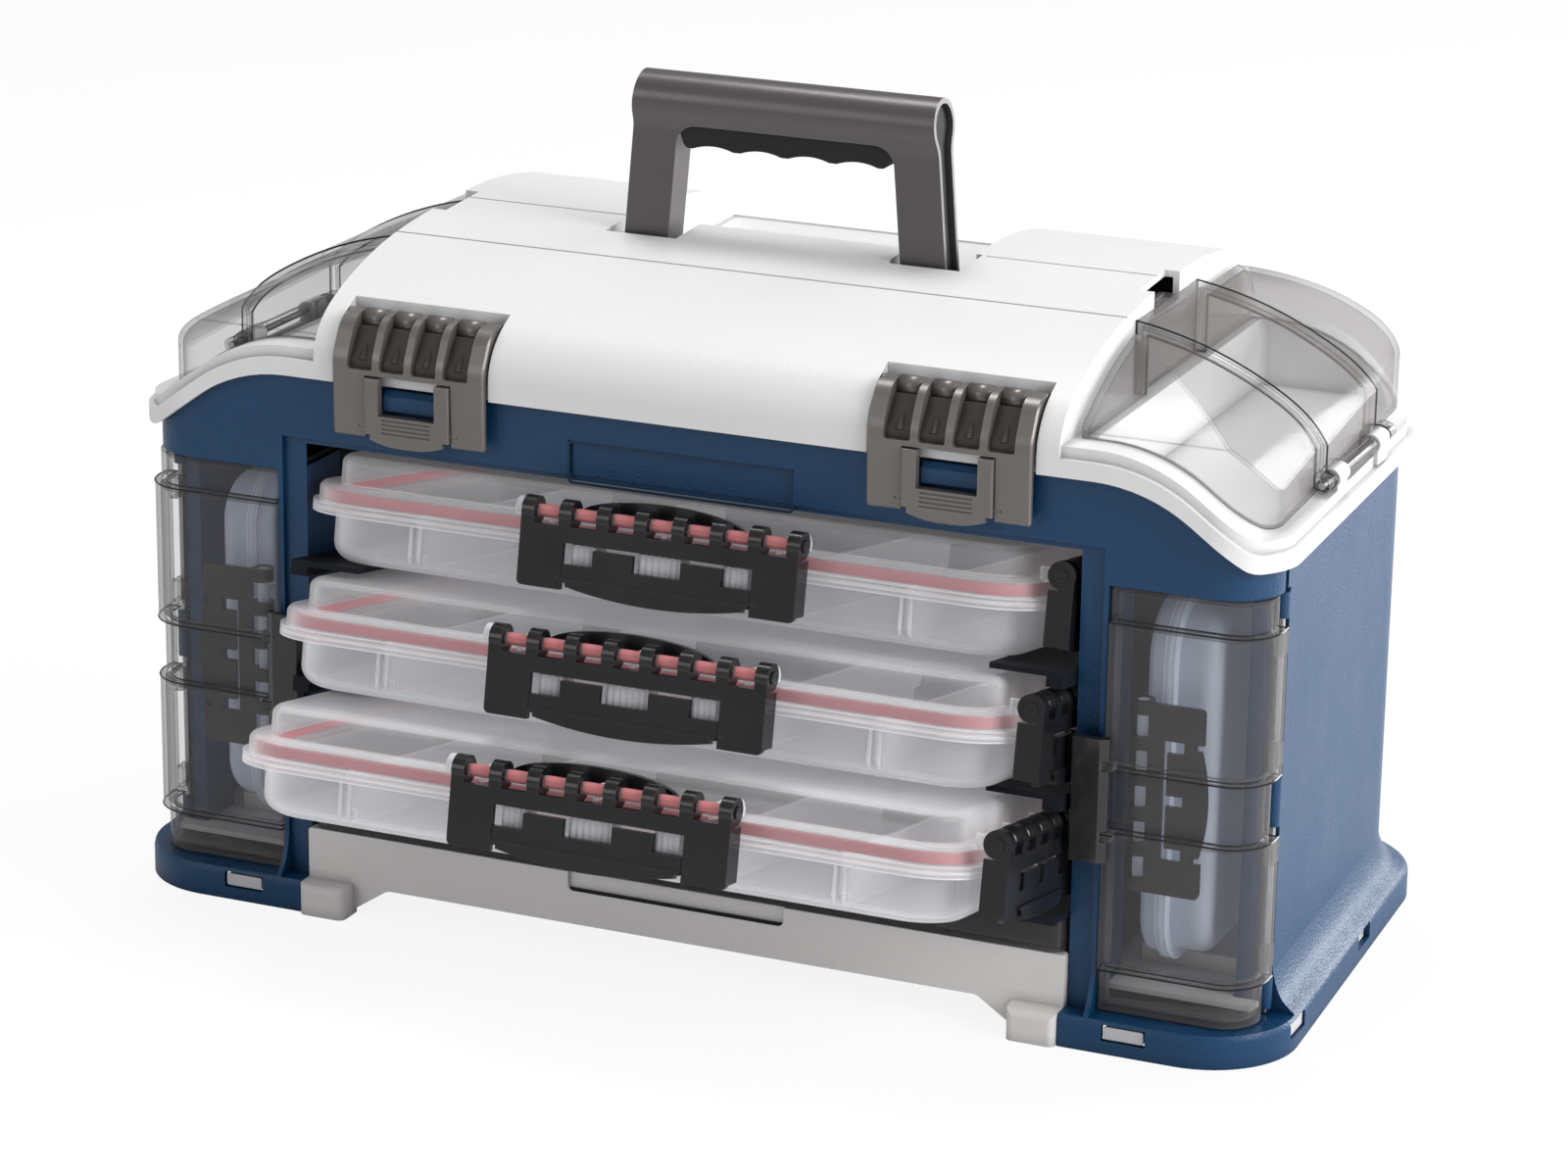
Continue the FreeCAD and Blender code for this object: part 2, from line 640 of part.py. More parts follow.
def lid_cover_lugs():
    """Lugs on the rim that carry the cover's hinge pin (right side)."""
    made = []
    x, z = cover_axis
    length = size("cover_lug_length")
    for sign in (-1, 1):
        y0 = sign * size("cover_lug_spacing") / 2 - length / 2
        eye = rod(4.4, FreeCAD.Vector(x, y0, z), FreeCAD.Vector(x, y0 + length, z))
        foot = block(x - 4.2, x + 3.4, y0, y0 + length, rim_low + 9, z)
        made.append(eye.fuse(foot))
    return made


cover_axis = (size("case_width") / 2 - 3.2, rim_low + rim_top + 5.2)


def make_lid():
    wall = size("lid_wall")
    overhang = size("lid_overhang")
    bead = plan_prism(-overhang, 150, 400).common(above_parting(0)).cut(above_parting(size("bead_height")))
    ledge = plan_prism(size("ledge_inset") - overhang, 150, 400).common(above_parting(1))
    ledge = ledge.cut(above_parting(rim_top))
    crown = dome(0, dome_half).common(above_parting(1))
    outer = bead.fuse([ledge, crown])
    # hollow under the rim and the dome
    hollow = plan_prism(size("case_wall") + 1, 100, 400).cut(above_parting(rim_top - wall))
    hollow = hollow.fuse(dome(wall, dome_half - wall))
    keep = latch_recess(wall) + handle_recess(wall)
    hollow = hollow.cut(keep)
    bin_wall = 2.4
    bin_room = size("case_wall") + 0.8
    bins = end_bin(4, size("bin_floor"), 400).cut(above_parting(rim_top - 0.2))
    bins = bins.common(plan_prism(bin_room, 200, 400))
    pockets = end_bin(4 + bin_wall, size("bin_floor") + bin_wall, 400)
    pockets = pockets.common(plan_prism(bin_room + bin_wall, 200, 400))
    pair = [bins, mirrored(bins)]
    lid = outer.cut(hollow).fuse(pair)
    cuts = [pockets, mirrored(pockets)] + latch_recess(0) + handle_recess(0)
    depth = size("groove_depth")
    for station, inner in ((strip_front, 0), (strip_back, slot_outer + 2)):
        ring = dome(0, dome_half + 1).cut(dome(depth, dome_half + 2))
        line = ring.common(block(-BEYOND, BEYOND, station, station + size("groove_width"), 200, 400))
        if inner:
            line = line.cut(block(-inner, inner, -BEYOND, BEYOND, 0, 400))
        cuts.append(line)
    # notch for the finger hook of each end cover
    for sign in SIDES.values():
        cuts.append(block(*sorted((sign * (dome_half - 7), sign * (dome_half + 12))), -17, 17, 297, 400))
    lid = lid.cut(cuts)
    extras = []
    for sign in SIDES.values():
        extras.append(block(*sorted((sign * (dome_half - 10), sign * dome_half)), -20, 20, 293.5, 297)
                      .common(dome(0, dome_half)))
    extras += latch_lugs() + handle_lugs() + lid_hinge_knuckles()
    extras += lid_cover_lugs() + [mirrored(lug) for lug in lid_cover_lugs()]
    room = [block(station + shift - 0.4, station + shift + 12.4, case_back - 1.6, BEYOND, 200, BEYOND)
            for station in hinge_stations for shift in (-26, 14)]
    bores = [rod(size(cell) + size("running_gap"), *ends) for cell, ends in lid_pin_spans()]
    return union([union([lid] + extras).cut(room + bores)])


def latch_slots():
    """Left edges of the slots of a latch, measured from its middle."""
    pitch = size("latch_slot") + size("latch_rib")
    first = -1.5 * pitch - size("latch_slot") / 2
    return [first + pitch * index for index in range(4)]


def latch_lugs():
    """Lugs of the lid that stand in the slots of each latch and hold its pin."""
    made = []
    for sign in SIDES.values():
        centre = sign * size("latch_offset")
        for start in latch_slots():
            x0 = centre + start + 0.5
            x1 = x0 + size("latch_slot") - 1
            eye = rod(3.6, *x_span(x0, x1, latch_pin_y, latch_pin_z))
            arm = block(x0, x1, latch_pin_y - 2.5, case_front + 17, 272, latch_pin_z)
            made.append(eye.fuse(arm))
    return made


def handle_lugs():
    """Ears on both sides of each pivot slot of the handle."""
    made = []
    reach = size("handle_pin_radius") + 4
    for sign in SIDES.values():
        for x0, x1 in ((slot_inner - 2.9, slot_inner + 2), (slot_outer - 2, slot_outer + 2.9)):
            low, high = sorted((sign * x0, sign * x1))
            ear = block(low, high, pivot_y - reach, pivot_y + reach, pivot_z - 12, pivot_z + 5)
            made.append(ear)
    return made


def lid_hinge_knuckles():
    made = []
    for station in hinge_stations:
        x0, x1 = station - 13, station + 13
        eye = rod(hinge_knuckle, FreeCAD.Vector(x0, hinge_y, hinge_z), FreeCAD.Vector(x1, hinge_y, hinge_z))
        arm = block(x0, x1, case_back - 1, hinge_y + 2, hinge_z - 1, hinge_z + 9)
        made.append(eye.fuse(arm))
    return made


def lid_pin_spans():
    """Every pin the lid carries: radius cell and the ends of its bore."""
    spans = []
    for station in hinge_stations:
        spans.append(("hinge_pin_radius", x_span(station - 27.5, station + 27.5, hinge_y, hinge_z)))
    for sign in SIDES.values():
        centre = sign * size("latch_offset")
        spans.append(("latch_pin_radius", x_span(centre - latch_half - 1, centre + latch_half + 1,
                                                 latch_pin_y, latch_pin_z)))
        ends = sorted((sign * (slot_inner - 3.2), sign * (slot_outer + 3.2)))
        spans.append(("handle_pin_radius", x_span(*ends, pivot_y, pivot_z)))
        spans.append(("cover_pin_radius", (FreeCAD.Vector(sign * cover_axis[0], -51, cover_axis[1]),
                                           FreeCAD.Vector(sign * cover_axis[0], 51, cover_axis[1]))))
    return spans


add_node("lid_shell", make_lid())


# ---------- pins of the lid, latches and handle ----------

def add_pins(label, radius, spans):
    """Group of round pins; each span is a start and an end point."""
    parts = []
    for index, (start, end) in enumerate(spans):
        pin = doc.addObject("Part::Cylinder", f"{label}_{index}")
        pin.setExpression("Radius", f"Sizes.{radius}")
        pin.Height = (end - start).Length
        pin.Placement = FreeCAD.Placement(start, FreeCAD.Rotation(Z_AXIS, end - start))
        parts.append(pin)
    group = doc.addObject("Part::Compound", label)
    group.Links = parts
    group.Label = label
    nodes.append(group)


add_pins("lid_hinge_pins", "hinge_pin_radius",
         [x_span(station - 27, station + 27, hinge_y, hinge_z) for station in hinge_stations])
add_pins("latch_pins", "latch_pin_radius",
         [x_span(sign * size("latch_offset") - latch_half, sign * size("latch_offset") + latch_half,
                 latch_pin_y, latch_pin_z) for sign in SIDES.values()])
add_pins("handle_pins", "handle_pin_radius",
         [x_span(*sorted((sign * (slot_inner - 2.9), sign * (slot_outer + 2.9))), pivot_y, pivot_z)
          for sign in SIDES.values()])
add_pins("cover_hinge_pins", "cover_pin_radius",
         [(FreeCAD.Vector(sign * cover_axis[0], -50, cover_axis[1]),
           FreeCAD.Vector(sign * cover_axis[0], 50, cover_axis[1])) for sign in SIDES.values()])
add_pins("door_hinge_pins", "door_pin_radius",
         [(FreeCAD.Vector(sign * door_hinge_x, door_hinge_y, size("plinth_height") + 1),
           FreeCAD.Vector(sign * door_hinge_x, door_hinge_y, door_top - 0.6)) for sign in SIDES.values()])


# ---------- lid latches: a slotted frame and a cam lever in its window ----------

latch_face = case_front - 9.2            # front plane of the latch frame
lever_half = size("lever_width") / 2
lever_axis = (latch_face + 2.1, 237.5)


def make_latch_frame():
    """Frame around the middle of the latch at x = 0."""
    deep = size("latch_thickness")
    bottom = size("latch_bottom")
    outline = [(latch_face + 0.8, bottom, 1.5), (latch_face, 268, 16), (latch_face + 9, 285.4, 12),
               (latch_pin_y, latch_pin_z + 4.4, 0), (latch_pin_y, latch_pin_z - 1, 0),
               (latch_pin_y - 5, latch_pin_z - 2.2, 7), (latch_face + deep, 266, 11),
               (latch_face + deep, bottom, 1)]
    frame = prism(rounded_wire(outline, on_yz(-latch_half)), X_AXIS * 2 * latch_half)
    barrel = rod(size("latch_barrel_radius"), *x_span(-latch_half, latch_half, latch_pin_y, latch_pin_z))
    sides = [e for e in frame.Edges if abs(abs(e.CenterOfMass.x) - latch_half) < 0.01
             and e.CenterOfMass.y < latch_face + 1 and e.CenterOfMass.z < 262]
    frame = frame.makeChamfer(0.8, sides).fuse(barrel)
    cuts = []
    for start in latch_slots():
        slot = block(start, start + size("latch_slot"), -BEYOND, BEYOND, 263, 400)
        lower = [e for e in slot.Edges if abs(e.CenterOfMass.z - 263) < 0.01
                 and abs(e.CenterOfMass.y) < 1 and e.Length > 100]
        cuts.append(slot.makeFillet(1.5, lower))
    cuts.append(block(-lever_half - 0.4, lever_half + 0.4, -BEYOND, latch_pin_y - 14,
                      0, size("lever_top") + 0.8))
    bore = rod(size("latch_pin_radius") + size("running_gap"),
               *x_span(-latch_half - 1, latch_half + 1, latch_pin_y, latch_pin_z))
    trunnion = rod(1.5 + size("running_gap"), *x_span(-lever_half - 3.4, lever_half + 3.4, *lever_axis))
    return union([frame.cut(cuts + [bore, trunnion])])


def make_lever():
    """Cam lever: two arms over an open window, grip lines and a curved lip."""
    top, low = size("lever_top"), size("lever_bottom")
    y0, y1 = latch_face - 1.4, latch_face + 3
    plate = block(-lever_half, lever_half, y0, y1, low, top)
    fronts = [e for e in plate.Edges if e.CenterOfMass.y < y0 + 0.1]
    plate = plate.makeFillet(1.0, fronts)
    reach = 55
    belly = Part.makeCylinder(reach, 20, FreeCAD.Vector(0, y0 - 5, low + reach), Y_AXIS)
    plate = plate.common(belly.fuse(block(-lever_half, lever_half, y0 - 5, y1 + 5, low + 4.2, top)))
    cuts = [block(-14, 14, y0 - 1, y1 + 1, 243.2, top + 1),
            block(-lever_half - 1, -lever_half + 3, y0 - 1, y1 + 1, low - 1, 234.4),
            block(lever_half - 3, lever_half + 1, y0 - 1, y1 + 1, low - 1, 234.4)]
    cuts += [block(-12, 12, y0 - 1, y0 + 0.5, level, level + 0.9) for level in (235.2, 237.2, 239.2, 241.2)]
    pivot = rod(1.5, *x_span(-lever_half - 3, lever_half + 3, *lever_axis))
    return union([plate.cut(cuts), pivot])


def moved(shape, x):
    copy = shape.copy()
    copy.translate(FreeCAD.Vector(x, 0, 0))
    return copy


latch_frame = make_latch_frame()
latch_lever = make_lever()
for side, sign in SIDES.items():
    add_node(f"main_latch_{side}", moved(latch_frame, sign * size("latch_offset")))
    add_node(f"latch_lever_{side}", moved(latch_lever, sign * size("latch_offset")))


# ---------- folding handle ----------

def handle_section(inset):
    """Side outline of the handle: round bar above a flat leg with a rounded foot."""
    bar = size("handle_bar_radius") - inset
    bar_z = size("handle_top") - size("handle_bar_radius")
    leg = size("handle_depth") / 2 - inset
    neck = bar_z - math.sqrt(max(bar ** 2 - leg ** 2, 1))
    foot = FreeCAD.Vector(0, pivot_y, pivot_z - leg)
    shoulder = [FreeCAD.Vector(0, pivot_y + sign * leg, neck - 5) for sign in (-1, 1)]
    waist = [FreeCAD.Vector(0, pivot_y + sign * leg, pivot_z) for sign in (-1, 1)]
    cheek = [FreeCAD.Vector(0, pivot_y + sign * bar, bar_z) for sign in (-1, 1)]
    crown = FreeCAD.Vector(0, pivot_y, bar_z + bar)
    blends = []
    for sign, low, high in ((1, shoulder[1], cheek[1]), (-1, shoulder[0], cheek[0])):
        blend = Part.BSplineCurve()
        blend.interpolate([low, high], InitialTangent=Z_AXIS * 9, FinalTangent=Z_AXIS * 9)
        blends.append(blend.toShape())
    return Part.Wire([Part.Arc(waist[0], foot, waist[1]).toShape(),
                      Part.LineSegment(waist[1], shoulder[1]).toShape(), blends[0],
                      Part.Arc(cheek[1], crown, cheek[0]).toShape(), blends[1],
                      Part.LineSegment(shoulder[0], waist[0]).toShape()])


handle_inner_top = size("handle_top") - 2 * size("handle_bar_radius") + 2.5


handle_foot = pivot_z - 20


def handle_opening(grow):
    """Finger opening of the bow seen from the front, made larger by grow."""
    rise = size("handle_top") - 5 - handle_foot
    inner = size("handle_span") / 2 - size("handle_leg") + grow - 1.2
    upper = inner - size("handle_taper") * (handle_inner_top - handle_foot) / rise
    return [(-inner, handle_foot - 5, 0), (inner, handle_foot - 5, 0), (upper, handle_inner_top + grow, 10),
            (-upper, handle_inner_top + grow, 10)]


def make_handle():
    """Hollow bow, open at both ends and along the outside of its legs."""
    half = size("handle_span") / 2
    top = size("handle_top") + 5
    leg = size("handle_leg")
    wall = size("handle_wall")
    outer_top = half - size("handle_taper")
    bow = [(-half, handle_foot, 0), (half, handle_foot, 0), (outer_top, top, 0), (-outer_top, top, 0)]
    span = FreeCAD.Vector(400, 0, 0)
    body = Part.Face(handle_section(0)).extrude(span)
    body.translate(FreeCAD.Vector(-200, 0, 0))
    front_view = prism(rounded_wire(bow, on_xz(-100)), Y_AXIS * 200)
    bow_solid = body.common(front_view).cut(prism(rounded_wire(handle_opening(0), on_xz(-100)), Y_AXIS * 200))
    void = Part.Face(handle_section(wall)).extrude(span)
    void.translate(FreeCAD.Vector(-200, 0, 0))
    void = void.cut(prism(rounded_wire(handle_opening(wall), on_xz(-100)), Y_AXIS * 200))
    seat = size("grip_length") / 2 - 3
    seat_depth = size("handle_depth") / 2 - size("handle_wall")
    mouth = block(-seat, seat, pivot_y - seat_depth, pivot_y + seat_depth, handle_inner_top - 3,
                  handle_inner_top + wall + 1)
    bow_solid = bow_solid.cut([void, mouth])
    for sign in SIDES.values():
        bore = rod(size("handle_pin_radius") + size("running_gap"),
                   *x_span(*sorted((sign * 40, sign * 100)), pivot_y, pivot_z))
        boss = rod(size("handle_pin_radius") + 3,
                   *x_span(*sorted((sign * (half - leg - 0.8), sign * (half - 1.2))), pivot_y, pivot_z))
        bow_solid = bow_solid.fuse(boss).cut(bore)
    return union([bow_solid])


def make_grip():
    """Soft insert under the bar, with four finger scallops and a tongue up into the bow."""
    half = size("grip_length") / 2
    seam = handle_inner_top - 0.05
    low = handle_inner_top - size("grip_height") + 2.5
    deep = size("handle_depth") / 2 - 0.6
    outline = [(-half, seam, 1), (half, seam, 1), (half - 4, low, 3), (-half + 4, low, 3)]
    pad_solid = prism(rounded_wire(outline, on_xz(pivot_y - deep)), Y_AXIS * 2 * deep)
    pad_solid = pad_solid.common(prism(rounded_wire(handle_opening(-0.05), on_xz(-100)), Y_AXIS * 200))
    count = 4
    pitch = (2 * half - 12) / count
    radius = 28
    scallops = []
    for index in range(count):
        x = -half + 6 + pitch * (index + 0.5)
        scallops.append(rod(radius, FreeCAD.Vector(x, -60, low - radius + 1.8),
                            FreeCAD.Vector(x, 60, low - radius + 1.8)))
    tongue_depth = size("handle_depth") / 2 - size("handle_wall") - 0.05
    tongue = block(-half + 3.05, half - 3.05, pivot_y - tongue_depth, pivot_y + tongue_depth, seam - 2,
                   handle_inner_top + size("handle_wall") + 2)
    return union([pad_solid.cut(scallops), tongue])


add_node("handle_frame", make_handle())
add_node("handle_grip", make_grip())


# ---------- tinted covers over the lid's end bins ----------

case_half = size("case_width") / 2
cover_section = [(dome_half - 2, 301.5), (dome_half + 29, 294.5), (case_half - 30, 279.5),
                 (case_half - 11, 265.5), (case_half - 2, 251)]
cover_slope = [(case_front + 2.7, 266), (case_front + 8, 273), (case_front + 22, 282), (case_front + 39, 290),
               (case_front + 57, 296.5), (case_front + 81, 302), (case_front + 118, 305.5),
               (case_front + 168, 306), (case_back - 44, 303), (case_back - 24, 296.5),
               (case_back - 14, 288), (case_back - 10.7, 276)]


def cover_solid(inset):
    """Domed block of the right cover; inset shrinks its outer faces."""
    across = curve_region(inset_points(cover_section, inset), 150, on_xz(-BEYOND))
    along = curve_region(inset_points(cover_slope, inset), 150, on_yz(-BEYOND))
    body = prism(across, Y_AXIS * 2 * BEYOND).common(prism(along, X_AXIS * 2 * BEYOND))
    x0 = dome_half + 0.5 + inset
    side = size("cover_side_inset") - size("lid_overhang") + inset
    front = size("case_width") / 2 - side
    rear = size("case_rear_width") / 2 - side
    y0 = case_front - size("lid_overhang") + size("cover_front_inset") + inset
    y1 = case_back - 10.5 - inset
    radius = size("cover_radius") - inset
    outline = rounded_wire([(x0, y0, 2), (front, y0, radius), (rear, y1, radius), (x0, y1, 2)], on_xy(150))
    return body.common(prism(outline, Z_AXIS * 250))


def make_cover():
    wall = size("cover_wall")
    rise = size("cover_rise")
    half = size("cover_band") / 2
    base = cover_solid(rise)
    band = cover_solid(0).common(block(0, BEYOND, -half, half, 0, BEYOND))
    edges = block(0, BEYOND, -BEYOND, BEYOND, 0, BEYOND)
    outer = base.fuse(band)
    hollow = cover_solid(rise + wall).fuse(
        cover_solid(wall).common(block(0, BEYOND, -half + wall, half - wall, 0, BEYOND)))
    seat = above_parting(rim_top + size("cover_seat"))
    shell = outer.common(edges).common(seat).cut(hollow)
    # hinge side: room for the lugs, and the cover's own barrels round the pin
    x, z = cover_axis
    length = size("cover_lug_length")
    cuts = []
    for sign in (-1, 1):
        middle = sign * size("cover_lug_spacing") / 2
        cuts.append(block(x - 5.4, x + 12, middle - length / 2 - 0.6, middle + length / 2 + 0.6, 0, z + 5.2))
    reach = size("cover_lug_spacing") / 2
    spans = ((-reach + length / 2 + 0.6, reach - length / 2 - 0.6),
             (reach + length / 2 + 0.6, reach + 20), (-reach - 20, -reach - length / 2 - 0.6))
    barrels = []
    for y0, y1 in spans:
        eye = rod(size("cover_barrel_radius"), FreeCAD.Vector(x, y0, z), FreeCAD.Vector(x, y1, z))
        barrels.append(eye.fuse(block(x - 4, x, y0, y1, z, z + 4)))
    bore = rod(size("cover_pin_radius") + size("running_gap"),
               FreeCAD.Vector(x, -70, z), FreeCAD.Vector(x, 70, z))
    # finger hook over the notch in the lid
    hook = block(dome_half - 6.4, dome_half + 4, -16, 16, 298, 300.2)
    hook = hook.fuse(block(dome_half - 6.4, dome_half - 4, -9, 9, 298, 302))
    return union([shell.cut(cuts)] + barrels + [hook]).cut(bore)


cover = make_cover()
for side in SIDES:
    add_node(f"end_cover_{side}", for_side(cover, side))


# ---------- tinted side doors ----------

def door_plan(step, inset):
    """Outline of the door's thickness seen from above (right side), filled to its back."""
    face = case_front - 1.6 + step + inset
    outer = size("case_width") / 2 + 1.2 - step - inset
    back = door_hinge_y - 4.6 if step == 0 else door_hinge_y - 8.5
    radius = size("door_corner") - step - inset
    return [(door_inner + inset, face, 1), (outer, face, radius), (outer, back, 0),
            (outer - 12, back, 0), (door_inner + inset, face + 9 - inset, 0)]


def make_door():
    wall = size("door_wall")
    step = size("door_step")
    low, high = size("plinth_height") + door_gap, door_top

    def slab(kind, inset, z0, z1, through=0.0):
        corners = door_plan(kind, inset)
        if through:
            corners = [(u, v + (through if index > 1 else 0), r) for index, (u, v, r) in enumerate(corners)]
        return prism(rounded_wire(corners, on_xy(z0)), Z_AXIS * (z1 - z0))

    panels = ((size("panel_low_base"), size("panel_low_top")),
              (size("panel_high_base"), size("panel_high_top")))
    outer = slab(step, 0, low, high).fuse([slab(0, 0, z0, z1) for z0, z1 in panels])
    hollow = slab(step, wall, low + wall, high - wall, 30)
    hollow = hollow.fuse([slab(0, wall, z0 + wall, z1 - wall, 30) for z0, z1 in panels])
    shell = outer.cut(hollow)
    x, y = door_hinge_x, door_hinge_y
    barrels = []
    for z0, z1 in ((panels[0][0] + 3, panels[0][0] + 13), (panels[0][1] - 13, panels[0][1] - 3),
                   (panels[1][0] + 3, panels[1][0] + 13), (panels[1][1] - 13, panels[1][1] - 3)):
        eye = Part.makeCylinder(size("door_barrel_radius"), z1 - z0, FreeCAD.Vector(x, y, z0))
        arm = block(x - 1.2, x + 2.6, y - 6.6, y, z0, z1)
        bore = Part.makeCylinder(size("door_pin_radius") + size("running_gap"), z1 - z0 + 2,
                                 FreeCAD.Vector(x, y, z0 - 1))
        barrels.append(eye.fuse(arm).cut(bore))
    # two ears with pivots for the door's catch
    ears = []
    for z0 in (catch_low + 10, catch_high - 14):
        ears.append(block(door_inner + 0.2, door_inner + 6.2, catch_y - 1.8, case_front - 0.2, z0, z0 + 4))
        ears.append(Part.makeCylinder(1.8, 4, FreeCAD.Vector(door_inner + 2, catch_y, z0)))
    return union([shell] + barrels + ears + [door_catch_pin()])


catch_low, catch_high = 86, 142
catch_y = case_front - 4.2


def door_catch_pin():
    return Part.makeCylinder(1.0, catch_high - catch_low - 20,
                             FreeCAD.Vector(door_inner + 2, catch_y, catch_low + 10))


def make_door_catch():
    """Snap tab that turns on the door's edge and lies over the pillar."""
    x = door_inner + 2
    outline = [(x - 15, catch_y - 3.2, 1.2), (x - 2, catch_y - 3.2, 0), (x + 0.5, catch_y - 1.8, 0.5),
               (x + 0.2, catch_y + 1.8, 0.5), (x - 2.4, catch_y + 0.6, 0), (x - 11.5, catch_y + 0.4, 0),
               (x - 12.5, catch_y + 2.6, 0.4), (x - 15, catch_y + 2.6, 0.6)]
    bar = prism(rounded_wire(outline, on_xy(catch_low)), Z_AXIS * (catch_high - catch_low))
    barrel = Part.makeCylinder(1.9, catch_high - catch_low, FreeCAD.Vector(x, catch_y, catch_low))
    bore = Part.makeCylinder(1.0 + size("running_gap"), 100, FreeCAD.Vector(x, catch_y, catch_low - 10))
    cuts = [bore]
    for z0 in (catch_low + 10, catch_high - 14):
        cuts.append(block(x - 2.6, x + 8, catch_y - 2.6, catch_y + 8, z0 - 0.4, z0 + 4.4))
    return union([bar.fuse(barrel).cut(cuts)])


door = make_door()
door_catch = make_door_catch()
for side in SIDES:
    add_node(f"side_door_{side}", for_side(door, side))
    add_node(f"door_catch_{side}", for_side(door_catch, side))


# ---------- utility boxes: PartDesign bodies in the box's own frame ----------
# Box frame: X across, Y from the front of the flange to the back, Z up from the flange plane.

def origin_plane(body, role):
    return next(item for item in body.Origin.OriginFeatures if item.Role == role)


def rounded_sketch(body, name, width, length, radius, front="0", level="0"):
    """Rounded rectangle in the XY plane, centred on X, from front to front + length."""
    sketch = body.newObject("Sketcher::SketchObject", name)
    sketch.AttachmentSupport = (origin_plane(body, "XY_Plane"), [""])
    sketch.MapMode = "FlatFace"
    sketch.setExpression("AttachmentOffset.Base.z", level)
    corner_radius, reach, half = 10.0, 40.0, 60.0
    spots = [(half - corner_radius, corner_radius, -90), (half - corner_radius, reach - corner_radius, 0),
             (-half + corner_radius, reach - corner_radius, 90), (-half + corner_radius, corner_radius, 180)]
    arcs = []
    for x, y, start in spots:
        circle = Part.Circle(FreeCAD.Vector(x, y, 0), Z_AXIS, corner_radius)
        arc = Part.ArcOfCircle(circle, math.radians(start), math.radians(start + 90))
        arcs.append(sketch.addGeometry(arc, False))
    lines = []
    for index in range(4):
        first, second = arcs[index], arcs[(index + 1) % 4]
        line = Part.LineSegment(sketch.getPoint(first, 2), sketch.getPoint(second, 1))
        lines.append(sketch.addGeometry(line, False))
    for index in range(4):
        sketch.addConstraint(Sketcher.Constraint("Tangent", arcs[index], 2, lines[index], 1))
        sketch.addConstraint(Sketcher.Constraint("Tangent", lines[index], 2, arcs[(index + 1) % 4], 1))
    for index, kind in enumerate(("Vertical", "Horizontal", "Vertical", "Horizontal")):
        sketch.addConstraint(Sketcher.Constraint(kind, lines[index]))
    for arc in arcs[1:]:
        sketch.addConstraint(Sketcher.Constraint("Equal", arcs[0], arc))
    named = [("radius", Sketcher.Constraint("Radius", arcs[0], corner_radius), radius),
             ("right", Sketcher.Constraint("DistanceX", -1, 1, lines[0], 1, half), f"({width}) / 2"),
             ("left", Sketcher.Constraint("DistanceX", lines[2], 1, -1, 1, half), f"({width}) / 2"),
             ("back", Sketcher.Constraint("DistanceY", lines[3], 1, lines[1], 1, reach), length)]
    for title, constraint, expression in named:
        number = sketch.addConstraint(constraint)
        sketch.renameConstraint(number, title)
        sketch.setExpression(f"Constraints.{title}", expression)
    number = sketch.addConstraint(Sketcher.Constraint("DistanceY", lines[3], 1, -1, 1, 0.0))
    sketch.renameConstraint(number, "front")
    sketch.setExpression("Constraints.front", f"-({front})")
    return sketch


def pad(body, sketch, height, reverse=False, kind="PartDesign::Pad"):
    feature = body.newObject(kind, sketch.Name + kind.split("::")[1])
    feature.Profile = sketch
    feature.setExpression("Length", height)
    feature.Reversed = reverse
    sketch.Visibility = False
    doc.recompute()
    return feature


def round_edges(body, radius, chosen):
    tip = body.Tip
    names = [f"Edge{number}" for number, edge in enumerate(tip.Shape.Edges, start=1) if chosen(edge)]
    feature = body.newObject("PartDesign::Fillet", tip.Name + "Round")
    feature.Base = (tip, names)
    feature.Radius = radius
    doc.recompute()
    return feature


def level_test(level):
    return lambda edge: all(abs(v.Z - level) < 0.05 for v in edge.Vertexes)


def add_tray(label, placement):
    """Open tray with rounded bottom edges and an outward flange."""
    body = doc.addObject("PartDesign::Body", label)
    body.Label = label
    width, length, radius = "Sizes.box_width", "Sizes.box_length", "Sizes.box_radius"
    inset = "Sizes.tray_inset"
    depth = "Sizes.tray_depth_below"
    wall = "Sizes.box_wall"
    outer = rounded_sketch(body, label + "_outer", f"{width} - 2 * {inset}", f"{length} - 2 * {inset}",
                           f"{radius} - 4", inset)
    pad(body, outer, depth, reverse=True)
    round_edges(body, size("tray_edge_radius"), level_test(-size("tray_depth_below")))
    tip = body.Tip
    top = next(n for n, face in enumerate(tip.Shape.Faces, start=1) if abs(face.CenterOfMass.z) < 0.01)
    shell = body.newObject("PartDesign::Thickness", label + "_shell")
    shell.Base = (tip, [f"Face{top}"])
    shell.setExpression("Value", wall)
    shell.Reversed = True
    shell.Join = 0
    doc.recompute()
    flange = rounded_sketch(body, label + "_flange", width, length, radius, "0")
    pad(body, flange, "Sizes.flange_thickness", reverse=True)
    mouth = rounded_sketch(body, label + "_mouth", f"{width} - 2 * ({inset} + {wall})",
                           f"{length} - 2 * ({inset} + {wall})", f"{radius} - 4 - {wall}", f"{inset} + {wall}")
    pad(body, mouth, "Sizes.flange_thickness", kind="PartDesign::Pocket")
    body.Placement = placement
    nodes.append(body)
    return body


